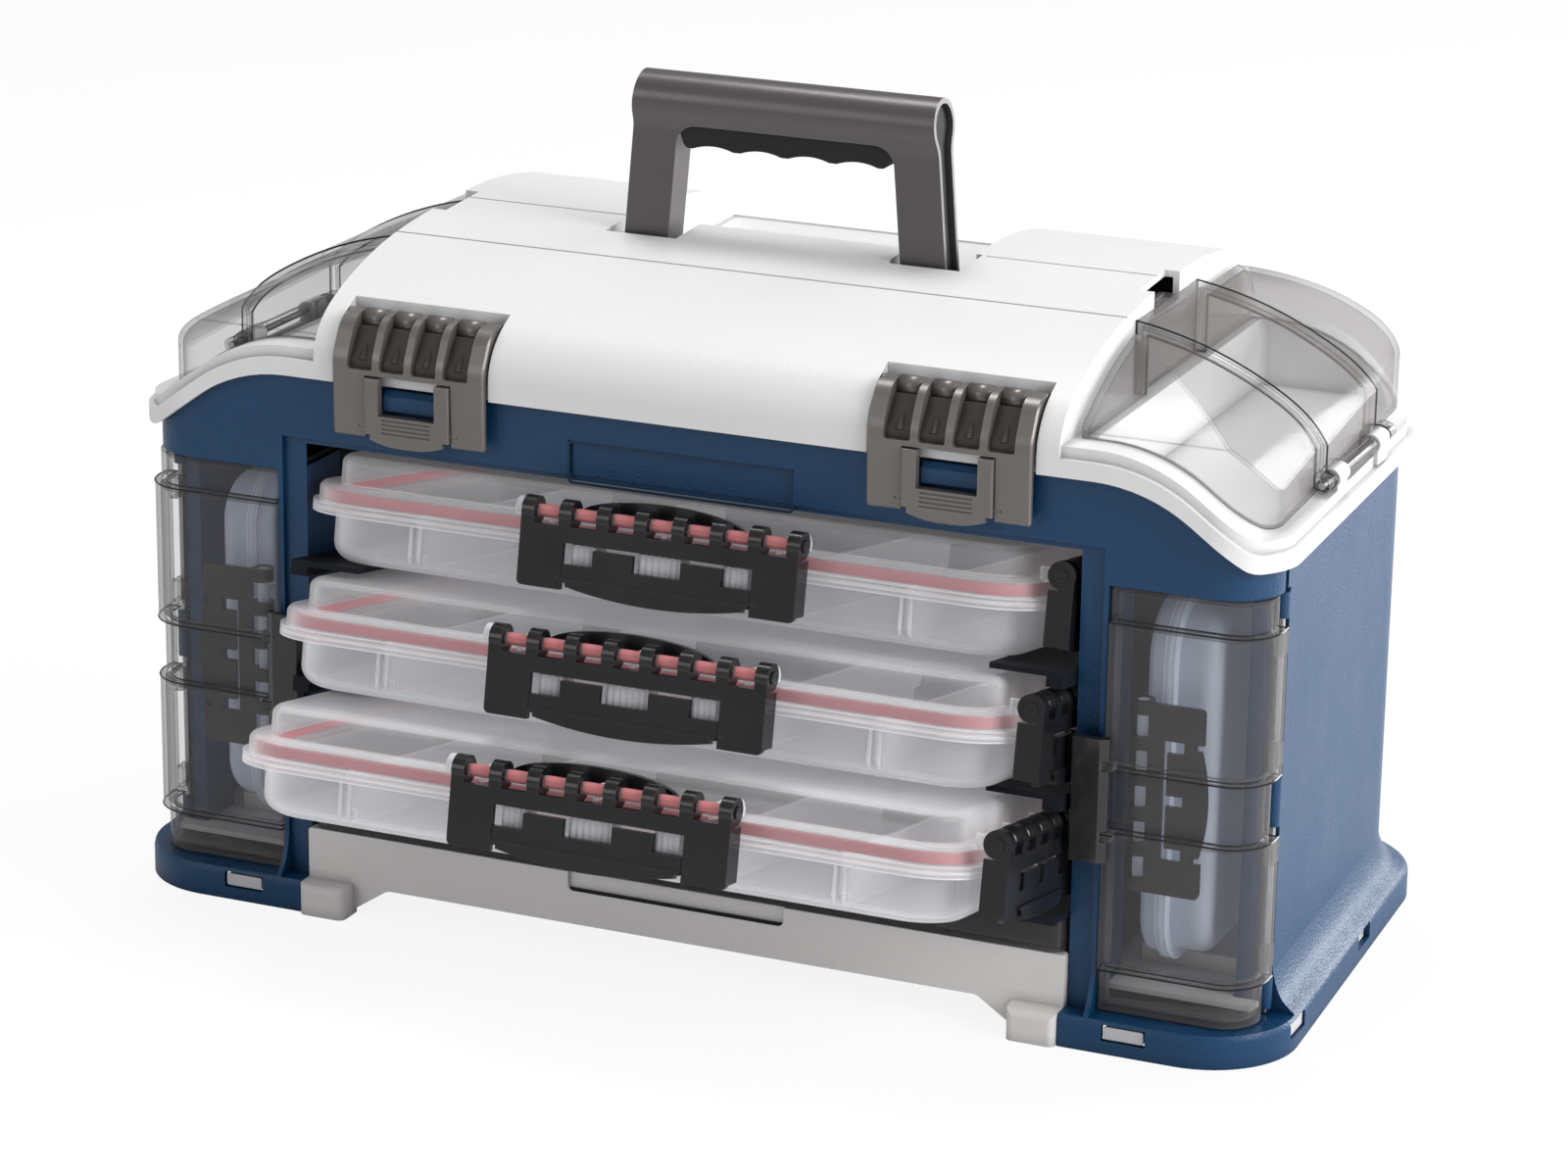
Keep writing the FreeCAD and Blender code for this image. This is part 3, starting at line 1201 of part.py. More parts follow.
def add_gasket(label, placement):
    """Soft seal that lies on the tray's rim inside the lid."""
    body = doc.addObject("PartDesign::Body", label)
    body.Label = label
    width = "Sizes.box_width - 2 * (2.7 + Sizes.box_wall)"
    length = "Sizes.box_length - 2 * (2.7 + Sizes.box_wall)"
    outer = rounded_sketch(body, label + "_outer", width, length, "Sizes.box_radius - 4.4",
                           "2.7 + Sizes.box_wall", "3.2")
    pad(body, outer, "Sizes.gasket_height")
    inner = rounded_sketch(body, label + "_inner", f"{width} - 8", f"{length} - 8",
                           "Sizes.box_radius - 8.4", "6.7 + Sizes.box_wall", "3.2 + Sizes.gasket_height")
    pad(body, inner, "Sizes.gasket_height + 1", kind="PartDesign::Pocket")
    body.Placement = placement
    nodes.append(body)
    return body


half_box = size("box_width") / 2
box_length = size("box_length")
ring_out = size("ring_radius")
front_window = 45.0              # half width of the window in a front clasp
side_window = 27.0
front_arms = (-21.0, 21.0)       # middles of the arms between the lever's notches
side_arms = (-12.0, 12.0)
side_clasp_y = 56.0              # middle of a side clasp, from the front of the flange
divider_long, divider_short = 118, 58


def slab_plan(inset, z0, z1, half=None, length=None, radius=None):
    half = half_box if half is None else half
    length = box_length if length is None else length
    radius = (size("box_radius") if radius is None else radius) - inset
    corners = [(-half + inset, inset, radius), (half - inset, inset, radius),
               (half - inset, length - inset, radius), (-half + inset, length - inset, radius)]
    return prism(rounded_wire(corners, on_xy(z0)), Z_AXIS * (z1 - z0))


def lid_solid(grow, half=None, length=None, radius=None, raised=None, floor=0.3):
    """Stepped outside of a utility box lid; grow moves its faces inward."""
    band = size("flange_thickness") + size("band_height")
    raised = size("panel_rise") if raised is None else raised
    top = band + raised - grow
    lower = slab_plan(2.6 + grow, floor, band - grow, half, length, radius)
    upper = slab_plan(size("panel_inset") + grow, floor, top, half, length, radius)
    round_top = [e for e in upper.Edges if all(abs(v.Z - top) < 0.05 for v in e.Vertexes)]
    upper = upper.makeFillet(max(4.5 - grow, 1), round_top)
    round_low = [e for e in lower.Edges if all(abs(v.Z - (band - grow)) < 0.05 for v in e.Vertexes)]
    lower = lower.makeFillet(max(3 - grow, 0.8), round_low)
    return lower.fuse(upper)


def clasp_rings(width, count):
    pitch = (width - size("ring_width")) / (count - 1)
    return [-width / 2 + size("ring_width") / 2 + pitch * index for index in range(count)]


def clasp_rod(width, count, reach, level, web_back, web_foot):
    """Rod of a box lid for a clasp, on three webs that stand between the rings."""
    bar = rod(size("rod_radius"), *x_span(-width / 2 + 0.4, width / 2 - 0.4, -reach, level))
    centres = clasp_rings(width, count)
    gaps = [(centres[i] + centres[i + 1]) / 2 for i in (0, (count - 1) // 2, count - 2)]
    webs = [block(x - 1, x + 1, -reach, web_back, web_foot, level + 1.6) for x in gaps]
    return [bar] + webs


def side_clasp_place():
    """Turns a clasp made for the front so that it sits on the right side of the box."""
    return FreeCAD.Placement(FreeCAD.Vector(half_box, side_clasp_y, 0), FreeCAD.Rotation(Z_AXIS, 90))


def front_clasp_place():
    return FreeCAD.Placement(FreeCAD.Vector(size("clasp_shift"), 0, 0), FreeCAD.Rotation())


def placed(shape, place):
    copy = shape.copy()
    copy.Placement = place
    return copy


def make_box_lid():
    wall = size("box_wall")
    shell = lid_solid(0).fuse(slab_plan(0, 0.3, size("flange_thickness") + 0.3))
    shell = shell.cut(lid_solid(wall, floor=-1))
    parts = [shell]
    rows = ((size("clasp_width"), size("clasp_rings"), size("ring_reach"), front_clasp_place()),
            (size("side_clasp_width"), size("side_clasp_rings"), size("side_reach"), side_clasp_place()))
    level = size("ring_height")
    for width, count, reach, place in rows:
        webs = clasp_rod(width, int(count), reach, level, 6, size("band_height") + 1.2)
        parts += [placed(piece, place) for piece in webs]
    return union(parts)


def make_clasp(width, count, reach, depth, window, style):
    """Clasp frame: rings round the rod, a top bar, cheeks and a window for the lever."""
    level, out, thick, height = style
    low = level - height
    face = 0.4 - reach - out
    plate_top = level - out + 1.3
    rings = [rod(out, *x_span(x - size("ring_width") / 2, x + size("ring_width") / 2, -reach, level))
             for x in clasp_rings(width, count)]
    struts = [block(x - size("ring_width") / 2, x + size("ring_width") / 2, face, face + thick + 1,
                    plate_top - 1.6, level) for x in clasp_rings(width, count)]
    plate = block(-width / 2, width / 2, face, face + thick, low, plate_top)
    corners = [e for e in plate.Edges if abs(abs(e.CenterOfMass.x) - width / 2) < 0.01
               and abs(e.CenterOfMass.z - low) < 0.01]
    plate = plate.makeFillet(2.5, corners)
    cheeks = []
    if depth > 5:
        for sign in (-1, 1):
            low_x, high_x = sorted((sign * (width / 2 - 2.4), sign * width / 2))
            cheeks.append(block(low_x, high_x, face + 1, face + depth, low + 2, plate_top - 1.6))
    frame = union(rings + struts + [plate] + cheeks)
    bore = rod(size("rod_radius") + size("running_gap"), *x_span(-width, width, -reach, level))
    hole = block(-window, window, -BEYOND, BEYOND, low - 1, plate_top - 7.2)
    pivot = rod(1.3 + size("running_gap"), *x_span(-window - 3, window + 3, face + thick / 2, low + 5.5))
    return union([frame.cut([bore, hole, pivot])])


def make_clasp_lever(reach, depth, window, arms, style):
    """Lever in the clasp's window: arms between three notches and a curved lip."""
    level, out, thick, height = style
    low = level - height
    face = 0.4 - reach - out
    half = window - 0.35
    arms_top = level - out + 1.3 - 9
    body = block(-half, half, face, face + thick, low + 1.5, arms_top - 7.5)
    uprights = [block(x - 9.5, x + 9.5, face, face + thick, arms_top - 8, arms_top) for x in arms]
    lip_radius = 210 if depth > 5 else 90
    lip = block(-half, half, face - (1.2 if depth > 5 else 0.1), face + thick - 0.4, low - 2.6, low + 5)
    curve = Part.makeCylinder(lip_radius, 20, FreeCAD.Vector(0, face - 5, low - 2.4 + lip_radius), Y_AXIS)
    lip = lip.common(curve)
    pivot = rod(1.3, *x_span(-window - 2.6, window + 2.6, face + thick / 2, low + 5.5))
    ends = [block(*sorted((sign * (half + 2), sign * (half - 2.6))), face - 3, face + thick + 1,
                  low - 5, low + 3.4) for sign in (-1, 1)]
    return union([union([body, lip] + uprights).cut(ends), pivot])


# level of the rod, outside radius of the rings, thickness of the plate, height from rod to lower edge
rack_style = (size("ring_height"), ring_out, size("clasp_plate"), size("clasp_height"))
side_box_style = (9, ring_out - 1.3, 2.2, 29)


def make_side_clasps():
    reach, depth = size("side_reach"), size("clasp_depth")
    frame = make_clasp(size("side_clasp_width"), int(size("side_clasp_rings")), reach, depth,
                       side_window, rack_style)
    lever = make_clasp_lever(reach, depth, side_window, side_arms, rack_style)
    return Part.makeCompound([placed(piece, side_clasp_place()) for piece in (frame, lever)])


def make_dividers():
    """Four long partitions standing in the tray."""
    floor = -size("tray_depth_below") + size("box_wall") + 0.3
    y0 = size("tray_inset") + size("box_wall") + 0.5
    y1 = box_length - y0
    pieces = []
    for x in (-divider_long, -divider_short, divider_short, divider_long):
        pieces.append(block(x - 0.8, x + 0.8, y0, y1, floor + 6, 1.5)
                      .fuse(block(x - 0.8, x + 0.8, y0 + 8, y1 - 8, floor, floor + 6.5)))
    return Part.makeCompound([p.removeSplitter() for p in pieces])


box_lid = make_box_lid()
clasp = make_clasp(size("clasp_width"), int(size("clasp_rings")), size("ring_reach"), size("clasp_depth"),
                   front_window, rack_style)
clasp_lever = make_clasp_lever(size("ring_reach"), size("clasp_depth"), front_window, front_arms, rack_style)
side_clasps = make_side_clasps()
dividers = make_dividers()

for index in range(int(size("box_count"))):
    name = f"box{index + 1}"
    place = box_place(index)
    front_place = place.multiply(front_clasp_place())
    add_tray(f"{name}_tray", place)
    add_node(f"{name}_lid", box_lid, place)
    add_gasket(f"{name}_gasket", place)
    add_node(f"{name}_dividers", dividers, place)
    add_node(f"{name}_front_clasp", clasp, front_place)
    add_node(f"{name}_clasp_lever", clasp_lever, front_place)
    add_node(f"{name}_side_clasps", side_clasps, place)


# ---------- upright utility boxes behind the side doors ----------

def stand_up(shape, sign):
    """Box frame to upright: box Y stays Y, box X becomes Z, box Z points to the middle."""
    copy = shape.copy()
    turn = FreeCAD.Rotation(Y_AXIS, -90 * sign)
    copy.Placement = FreeCAD.Placement(FreeCAD.Vector(sign * 222.5, case_front + 15, side_box_centre), turn)
    return copy


side_half = size("side_box_width") / 2
side_length = size("side_box_length")


def make_side_box():
    wall = size("box_wall")
    radius = size("side_box_radius")
    size_words = dict(half=side_half, length=side_length, radius=radius)
    tray = slab_plan(5, -20, 0, **size_words)
    bottom = [e for e in tray.Edges if all(abs(v.Z + 20) < 0.05 for v in e.Vertexes)]
    tray = tray.makeFillet(8, bottom).fuse(slab_plan(0, -2.3, 0, **size_words))
    inner = slab_plan(5 + wall, -20 + wall, 1, **size_words)
    bottom = [e for e in inner.Edges if all(abs(v.Z + 20 - wall) < 0.05 for v in e.Vertexes)]
    tray = tray.cut(inner.makeFillet(6, bottom))
    cover = lid_solid(0, side_half, side_length, radius, 0.6).fuse(
        slab_plan(0, 0.3, 2.6, **size_words))
    cover = cover.cut(lid_solid(wall, side_half, side_length, radius, 0.6, floor=-1))
    width, count, reach = size("side_clasp_width"), int(size("side_clasp_rings")), 5.4
    level = side_box_style[0]
    cover = union([cover] + clasp_rod(width, count, reach, level, 5, level - 2.2))
    hook = make_clasp(width, count, reach, 4, side_window, side_box_style)
    hook_lever = make_clasp_lever(reach, 4, side_window, side_arms, side_box_style)
    return {"tray": union([tray]), "lid": cover, "clasp": Part.makeCompound([hook, hook_lever])}


side_box = make_side_box()
for side, sign in SIDES.items():
    for piece, shape in side_box.items():
        add_node(f"side_box_{side}_{piece}", stand_up(shape, sign))


# ---------- checks and export ----------

outline = FreeCAD.BoundBox()
for node in nodes:
    outline.add(node.Shape.BoundBox)
middle = round(outline.Center.y * 2) / 2
for node in nodes:
    node.Placement = FreeCAD.Placement(Y_AXIS * -middle, FreeCAD.Rotation()).multiply(node.Placement)
doc.recompute()
os.makedirs("parts", exist_ok=True)
for item in doc.Objects:
    if "Invalid" in item.State or "Error" in item.State:
        raise RuntimeError(f"{item.Label} did not build: {item.State}")
for node in nodes:
    if node.Shape.isNull() or not node.Shape.isValid():
        raise RuntimeError(f"{node.Label} has no valid shape")
for node in nodes:
    node.Shape.exportStep(f"parts/{node.Label}.step")
    print(f"{node.Label:24s} {len(node.Shape.Solids)} solids  {node.Shape.Volume / 1000:9.1f} cm3")
print(f"moved {-middle} mm along Y")
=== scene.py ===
import math

import bmesh
import bpy
from mathutils import Matrix, Vector


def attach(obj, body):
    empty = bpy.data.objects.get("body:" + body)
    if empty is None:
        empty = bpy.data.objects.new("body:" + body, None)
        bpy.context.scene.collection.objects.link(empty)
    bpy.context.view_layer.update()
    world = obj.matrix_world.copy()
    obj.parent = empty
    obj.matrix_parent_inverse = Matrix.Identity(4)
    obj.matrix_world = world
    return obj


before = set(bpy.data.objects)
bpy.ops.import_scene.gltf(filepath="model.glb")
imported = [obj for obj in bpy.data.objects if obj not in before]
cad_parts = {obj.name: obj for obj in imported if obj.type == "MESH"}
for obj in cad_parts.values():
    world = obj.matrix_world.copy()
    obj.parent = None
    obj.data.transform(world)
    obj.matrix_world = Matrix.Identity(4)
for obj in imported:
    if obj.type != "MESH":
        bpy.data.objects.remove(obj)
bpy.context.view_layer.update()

print("frame loaded:", len(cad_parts), "nodes")
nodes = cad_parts
sides = {"right": 1, "left": -1}
mm = 0.001


# camera

camera = {
    "place": (0.8418, -1.9413, 0.8314),
    "turn": 23.062,              # degrees round the vertical
    "drop": 17.688,              # degrees below the horizon
    "roll": -0.816,
    "lens": 112.08,
    "sensor": 36,
    "farthest": 20,
}


def placeCamera():
    turn, drop, roll = (math.radians(camera[k]) for k in ("turn", "drop", "roll"))
    forward = Vector((-math.sin(turn) * math.cos(drop), math.cos(turn) * math.cos(drop), -math.sin(drop)))
    right = Vector((math.cos(turn), math.sin(turn), 0))
    down = forward.cross(right)
    across = right * math.cos(roll) + down * math.sin(roll)
    below = down * math.cos(roll) - right * math.sin(roll)
    data = bpy.data.cameras.new("viewCamera")
    data.lens = camera["lens"]
    data.sensor_width = camera["sensor"]
    data.clip_end = camera["farthest"]
    eye = bpy.data.objects.new("viewCamera", data)
    turned = Matrix((across, -below, -forward)).transposed().to_4x4()
    eye.matrix_world = Matrix.Translation(camera["place"]) @ turned
    bpy.context.scene.collection.objects.link(eye)
    bpy.context.scene.camera = eye


placeCamera()
print("camera placed")


# shader groups: every effect that more than one finish uses

def newGroup(name, inputs, outputs):
    group = bpy.data.node_groups.new(name, "ShaderNodeTree")
    for title, kind, value in inputs:
        socket = group.interface.new_socket(title, in_out="INPUT", socket_type="NodeSocket" + kind)
        socket.default_value = value
    for title, kind in outputs:
        group.interface.new_socket(title, in_out="OUTPUT", socket_type="NodeSocket" + kind)
    return group, group.nodes.new("NodeGroupInput"), group.nodes.new("NodeGroupOutput")


def addNode(tree, kind, values=None, links=None, **settings):
    node = tree.nodes.new("ShaderNode" + kind)
    for key, value in settings.items():
        setattr(node, key, value)
    for key, value in (values or {}).items():
        node.inputs[key].default_value = value
    for key, source in (links or {}).items():
        tree.links.new(source, node.inputs[key])
    return node


def calc(tree, operation, first, second=None, clamp=False):
    node = addNode(tree, "Math", operation=operation, use_clamp=clamp)
    for slot, value in enumerate((first, second)):
        if value is None:
            continue
        if isinstance(value, (int, float)):
            node.inputs[slot].default_value = value
        else:
            tree.links.new(value, node.inputs[slot])
    return node.outputs[0]


pebbles = {"random": 0.9, "finer": 1.7, "gritDetail": 2.0}
clouds = {"detail": 4.0, "roughness": 0.6, "swing": 4.0}
edgeMarks = {"steepness": 4.0, "patchScale": 60.0, "patchDetail": 3.0, "patchLift": 0.3, "samples": 4}
smears = {"scale": 22.0, "detail": 5.0, "roughness": 0.65, "swing": 3.0}


def makePebbleGrain():
    # raised rounded pebbles with fine grit between them, as spark-eroded moulds leave
    tree, given, result = newGroup("pebbleGrain", [("Scale", "Float", 1100.0), ("Grit", "Float", 0.3)],
                                   [("Height", "Float")])
    spot = addNode(tree, "TexCoord").outputs["Object"]
    cells = addNode(tree, "TexVoronoi", {"Randomness": pebbles["random"]},
                    {"Vector": spot, "Scale": given.outputs["Scale"]}, feature="SMOOTH_F1")
    finer = calc(tree, "MULTIPLY", given.outputs["Scale"], pebbles["finer"])
    grit = addNode(tree, "TexNoise", {"Detail": pebbles["gritDetail"]}, {"Vector": spot, "Scale": finer})
    pebble = calc(tree, "SUBTRACT", 1.0, cells.outputs["Distance"])
    fine = calc(tree, "MULTIPLY", grit.outputs["Fac"], given.outputs["Grit"])
    mixed = calc(tree, "ADD", pebble, fine)
    tree.links.new(mixed, result.inputs["Height"])
    return tree


def makeToneDrift():
    # slow cloudy change of tone over a moulding
    tree, given, result = newGroup(
        "toneDrift", [("Color", "Color", (0.5, 0.5, 0.5, 1)), ("Scale", "Float", 9.0),
                      ("Amount", "Float", 0.05)], [("Color", "Color")])
    spot = addNode(tree, "TexCoord").outputs["Object"]
    cloud = addNode(tree, "TexNoise", {"Detail": clouds["detail"], "Roughness": clouds["roughness"]},
                    {"Vector": spot, "Scale": given.outputs["Scale"]})
    centred = calc(tree, "SUBTRACT", cloud.outputs["Fac"], 0.5)
    swing = calc(tree, "MULTIPLY", centred, given.outputs["Amount"])
    lift = calc(tree, "ADD", calc(tree, "MULTIPLY", swing, clouds["swing"]), 1.0)
    shade = addNode(tree, "HueSaturation", {}, {"Color": given.outputs["Color"], "Value": lift})
    tree.links.new(shade.outputs["Color"], result.inputs["Color"])
    return tree


def makeEdgeWearAndEdgeLines():
    # edges rubbed paler, broken up by noise; on the clear finishes the same mask paints lines along the
    # edges: painted highlights on the pale boxes, painted shade on the smoked covers and doors
    tree, given, result = newGroup(
        "edgeWearAndEdgeLines", [("Color", "Color", (0.5, 0.5, 0.5, 1)), ("EdgeColor", "Color", (0.8, 0.8, 0.8, 1)),
                     ("Radius", "Float", 0.0015), ("Amount", "Float", 0.4)],
        [("Color", "Color"), ("Mask", "Float")])
    rounded = addNode(tree, "Bevel", {}, {"Radius": given.outputs["Radius"]}, samples=edgeMarks["samples"])
    flat = addNode(tree, "NewGeometry")
    match = addNode(tree, "VectorMath", operation="DOT_PRODUCT",
                    links={0: rounded.outputs["Normal"], 1: flat.outputs["Normal"]})
    turned = calc(tree, "SUBTRACT", 1.0, match.outputs["Value"])
    edge = calc(tree, "MULTIPLY", turned, edgeMarks["steepness"], clamp=True)
    spot = addNode(tree, "TexCoord").outputs["Object"]
    patch = addNode(tree, "TexNoise", {"Scale": edgeMarks["patchScale"], "Detail": edgeMarks["patchDetail"]},
                    {"Vector": spot})
    broken = calc(tree, "MULTIPLY", edge, calc(tree, "ADD", patch.outputs["Fac"], edgeMarks["patchLift"]))
    mask = calc(tree, "MULTIPLY", broken, given.outputs["Amount"], clamp=True)
    mixed = addNode(tree, "Mix", data_type="RGBA")
    tree.links.new(mask, mixed.inputs[0])
    tree.links.new(given.outputs["Color"], mixed.inputs[6])
    tree.links.new(given.outputs["EdgeColor"], mixed.inputs[7])
    tree.links.new(mixed.outputs[2], result.inputs["Color"])
    tree.links.new(mask, result.inputs["Mask"])
    return tree


def makePaintedCreaseShade():
    # painted shade: tone darkens in grooves and inside corners, by ambient occlusion
    tree, given, result = newGroup(
        "paintedCreaseShade", [("Color", "Color", (0.5, 0.5, 0.5, 1)), ("Reach", "Float", 0.006),
                    ("Amount", "Float", 0.5)], [("Color", "Color")])
    hollow = addNode(tree, "AmbientOcclusion", {}, {"Distance": given.outputs["Reach"]},
                     samples=edgeMarks["samples"])
    shut = calc(tree, "SUBTRACT", 1.0, hollow.outputs["AO"])
    keep = calc(tree, "SUBTRACT", 1.0, calc(tree, "MULTIPLY", shut, given.outputs["Amount"]), clamp=True)
    shade = addNode(tree, "HueSaturation", {}, {"Color": given.outputs["Color"], "Value": keep})
    tree.links.new(shade.outputs["Color"], result.inputs["Color"])
    return tree


def makeHandling():
    # smears and light scratches that only change the gloss
    tree, given, result = newGroup("handling", [("Roughness", "Float", 0.4), ("Amount", "Float", 0.1)],
                                   [("Roughness", "Float")])
    spot = addNode(tree, "TexCoord").outputs["Object"]
    smear = addNode(tree, "TexNoise", {"Scale": smears["scale"], "Detail": smears["detail"],
                                       "Roughness": smears["roughness"]}, {"Vector": spot})
    centred = calc(tree, "SUBTRACT", smear.outputs["Fac"], 0.5)
    swing = calc(tree, "MULTIPLY", centred, given.outputs["Amount"])
    wide = calc(tree, "MULTIPLY", swing, smears["swing"])
    rough = calc(tree, "ADD", given.outputs["Roughness"], wide, clamp=True)
    tree.links.new(rough, result.inputs["Roughness"])
    return tree


groups = {"grain": makePebbleGrain(), "drift": makeToneDrift(), "wearAndEdgeLines": makeEdgeWearAndEdgeLines(),
          "paintedCreaseShade": makePaintedCreaseShade(), "handling": makeHandling()}
print("shader groups built:", len(groups))


# finishes

opaqueFinishes = {
    "caseBlue": {"color": (0.003, 0.047, 0.128), "worn": (0.03, 0.12, 0.26), "roughness": 0.38,
                 "grain": 1000, "depth": 0.4, "grit": 0.5, "drift": 0.05, "wearAndEdgeLines": 0.3,
                 "specular": 0.4},
    "baseGrey": {"color": (0.74, 0.722, 0.708), "worn": (0.6, 0.6, 0.58), "roughness": 0.5,
                 "grain": 1300, "depth": 0.10, "grit": 0.4, "drift": 0.04, "wearAndEdgeLines": 0.2,
                 "specular": 0.4},
    # painted shade: near-black for the shaded inside of the bay and the shadow line under the scoop
    "shadeDark": {"color": (0.008, 0.010, 0.016), "worn": (0.1, 0.1, 0.11), "roughness": 0.5,
                  "grain": 900, "depth": 0.05, "grit": 0.4, "drift": 0.05, "wearAndEdgeLines": 0.1,
                  "specular": 0.15},
    "lidWhite": {"color": (0.80, 0.805, 0.815), "worn": (0.86, 0.86, 0.87), "roughness": 0.45,
                 "grain": 1300, "depth": 0.16, "grit": 0.5, "drift": 0.015, "wearAndEdgeLines": 0.2,
                 "specular": 0.45},
    "latchGrey": {"color": (0.175, 0.160, 0.152), "worn": (0.30, 0.28, 0.27), "roughness": 0.34,
                  "grain": 1500, "depth": 0.06, "grit": 0.5, "drift": 0.04, "wearAndEdgeLines": 0.3,
                  "specular": 0.6, "metallic": 0.35},
    "handleGrey": {"color": (0.105, 0.095, 0.096), "worn": (0.27, 0.25, 0.25), "roughness": 0.32,
                   "grain": 1500, "depth": 0.06, "grit": 0.5, "drift": 0.04, "wearAndEdgeLines": 0.3,
                   "specular": 0.6, "metallic": 0.35},
    "gripRubber": {"color": (0.012, 0.012, 0.013), "worn": (0.05, 0.05, 0.05), "roughness": 0.62,
                   "grain": 2100, "depth": 0.08, "grit": 0.6, "drift": 0.1, "wearAndEdgeLines": 0.3,
                   "specular": 0.35},
    "claspBlack": {"color": (0.010, 0.010, 0.012), "worn": (0.07, 0.07, 0.08), "roughness": 0.22,
                   "grain": 2300, "depth": 0.015, "grit": 0.5, "drift": 0.05, "wearAndEdgeLines": 0.25,
                   "specular": 0.5},
    # the seal's glow is painted light
    "sealRed": {"color": (0.92, 0.15, 0.20), "worn": (0.6, 0.2, 0.2), "roughness": 0.45, "grain": 1900,
                "depth": 0.03, "grit": 0.5, "drift": 0.05, "wearAndEdgeLines": 0.1, "specular": 0.4, "glow": 0.16},
    "rodPink": {"color": (0.66, 0.22, 0.23), "worn": (0.75, 0.45, 0.42), "roughness": 0.25,
                "grain": 1900, "depth": 0.02, "grit": 0.5, "drift": 0.05, "wearAndEdgeLines": 0.15,
                "specular": 0.5},
    "bossFrost": {"color": (0.62, 0.62, 0.66), "worn": (0.8, 0.8, 0.82), "roughness": 0.3,
                  "grain": 1500, "depth": 0.02, "grit": 0.5, "drift": 0.05, "wearAndEdgeLines": 0.2,
                  "specular": 0.5},
    "latchShade": {"color": (0.055, 0.048, 0.043), "worn": (0.12, 0.11, 0.10), "roughness": 0.45,
                   "grain": 1500, "depth": 0.05, "grit": 0.5, "drift": 0.05, "wearAndEdgeLines": 0.2,
                   "specular": 0.4},
    # dark blue of the door sills, also the painted shadow line round the badge recess
    "sillAndShadowBlue": {"color": (0.006, 0.030, 0.070), "worn": (0.04, 0.10, 0.2), "roughness": 0.45,
                 "grain": 1000, "depth": 0.2, "grit": 0.5, "drift": 0.05, "wearAndEdgeLines": 0.2,
                 "specular": 0.3},
    # painted shade for the dark lines along the steps of the tinted covers and doors
    "stepShadeLine": {"color": (0.014, 0.013, 0.014), "worn": (0.1, 0.1, 0.1), "roughness": 0.15,
                  "grain": 1900, "depth": 0.01, "grit": 0.5, "drift": 0.05, "wearAndEdgeLines": 0.1,
                  "specular": 0.5},
    "tabWhite": {"color": (0.58, 0.57, 0.60), "worn": (0.85, 0.85, 0.85), "roughness": 0.45,
                 "grain": 1300, "depth": 0.08, "grit": 0.5, "drift": 0.02, "wearAndEdgeLines": 0.2,
                 "specular": 0.4},
    # painted shade inside the hollow handle
    "hollowShadeBlack": {"color": (0.008, 0.007, 0.008), "worn": (0.02, 0.02, 0.02), "roughness": 0.6,
                    "grain": 1500, "depth": 0.04, "grit": 0.5, "drift": 0.05, "wearAndEdgeLines": 0.1,
                    "specular": 0.25},
    "catchSmoke": {"color": (0.022, 0.022, 0.024), "worn": (0.12, 0.12, 0.12), "roughness": 0.18,
                   "grain": 1900, "depth": 0.01, "grit": 0.5, "drift": 0.05, "wearAndEdgeLines": 0.3,
                   "specular": 0.5},
    "pinSteel": {"color": (0.55, 0.55, 0.56), "worn": (0.75, 0.75, 0.75), "roughness": 0.28,
                 "grain": 1600, "depth": 0.02, "grit": 0.8, "drift": 0.05, "wearAndEdgeLines": 0.2,
                 "specular": 0.5, "metallic": 1.0},
}
# clear finishes: glow is painted light; the lids share the trays' plastic but get less painted glow, as
# their tops sit in the shade of the bay
clearFinishes = {
    "smokedClear": {"color": (0.18, 0.172, 0.176), "edge": (0.02, 0.018, 0.018), "line": 0.9,
                    "roughness": 0.06, "face": 0.17, "rim": 0.85, "curve": 2.2, "specular": 0.6,
                    "grain": 40, "depth": 0.03},
    "coverClear": {"color": (0.17, 0.158, 0.15), "edge": (0.02, 0.018, 0.018), "line": 0.9,
                   "roughness": 0.1, "face": 0.08, "rim": 0.85, "curve": 2.8, "specular": 0.35,
                   "grain": 40, "depth": 0.03},
    "boxClear": {"color": (0.93, 0.94, 0.97), "edge": (0.95, 0.96, 1.0), "line": 0.8,
                 "roughness": 0.14, "face": 0.17, "rim": 0.9, "curve": 1.6, "specular": 0.5,
                 "grain": 420, "depth": 0.02, "glow": 0.08},
    "lidClear": {"color": (0.93, 0.93, 0.95), "edge": (0.95, 0.96, 1.0), "line": 0.8,
                 "roughness": 0.12, "face": 0.13, "rim": 0.85, "curve": 1.8, "specular": 0.55,
                 "grain": 420, "depth": 0.02, "glow": 0.06},
    "sideFrost": {"color": (0.78, 0.85, 0.98), "edge": (0.95, 0.97, 1.0), "line": 0.8,
                  "roughness": 0.2, "face": 0.42, "rim": 0.92, "curve": 1.6, "specular": 0.5,
                  "grain": 420, "depth": 0.02, "glow": 0.05},
    "ribFrost": {"color": (0.92, 0.93, 0.97), "edge": (0.95, 0.96, 1.0), "line": 0.5,
                 "roughness": 0.18, "face": 0.45, "rim": 0.85, "curve": 1.4, "specular": 0.5,
                 "grain": 420, "depth": 0.02},
}


def startMaterial(name):
    made = bpy.data.materials.new(name)
    made.use_nodes = True
    tree = made.node_tree
    tree.nodes.clear()
    out = tree.nodes.new("ShaderNodeOutputMaterial")
    shader = tree.nodes.new("ShaderNodeBsdfPrincipled")
    tree.links.new(shader.outputs["BSDF"], out.inputs["Surface"])
    return made, tree, shader


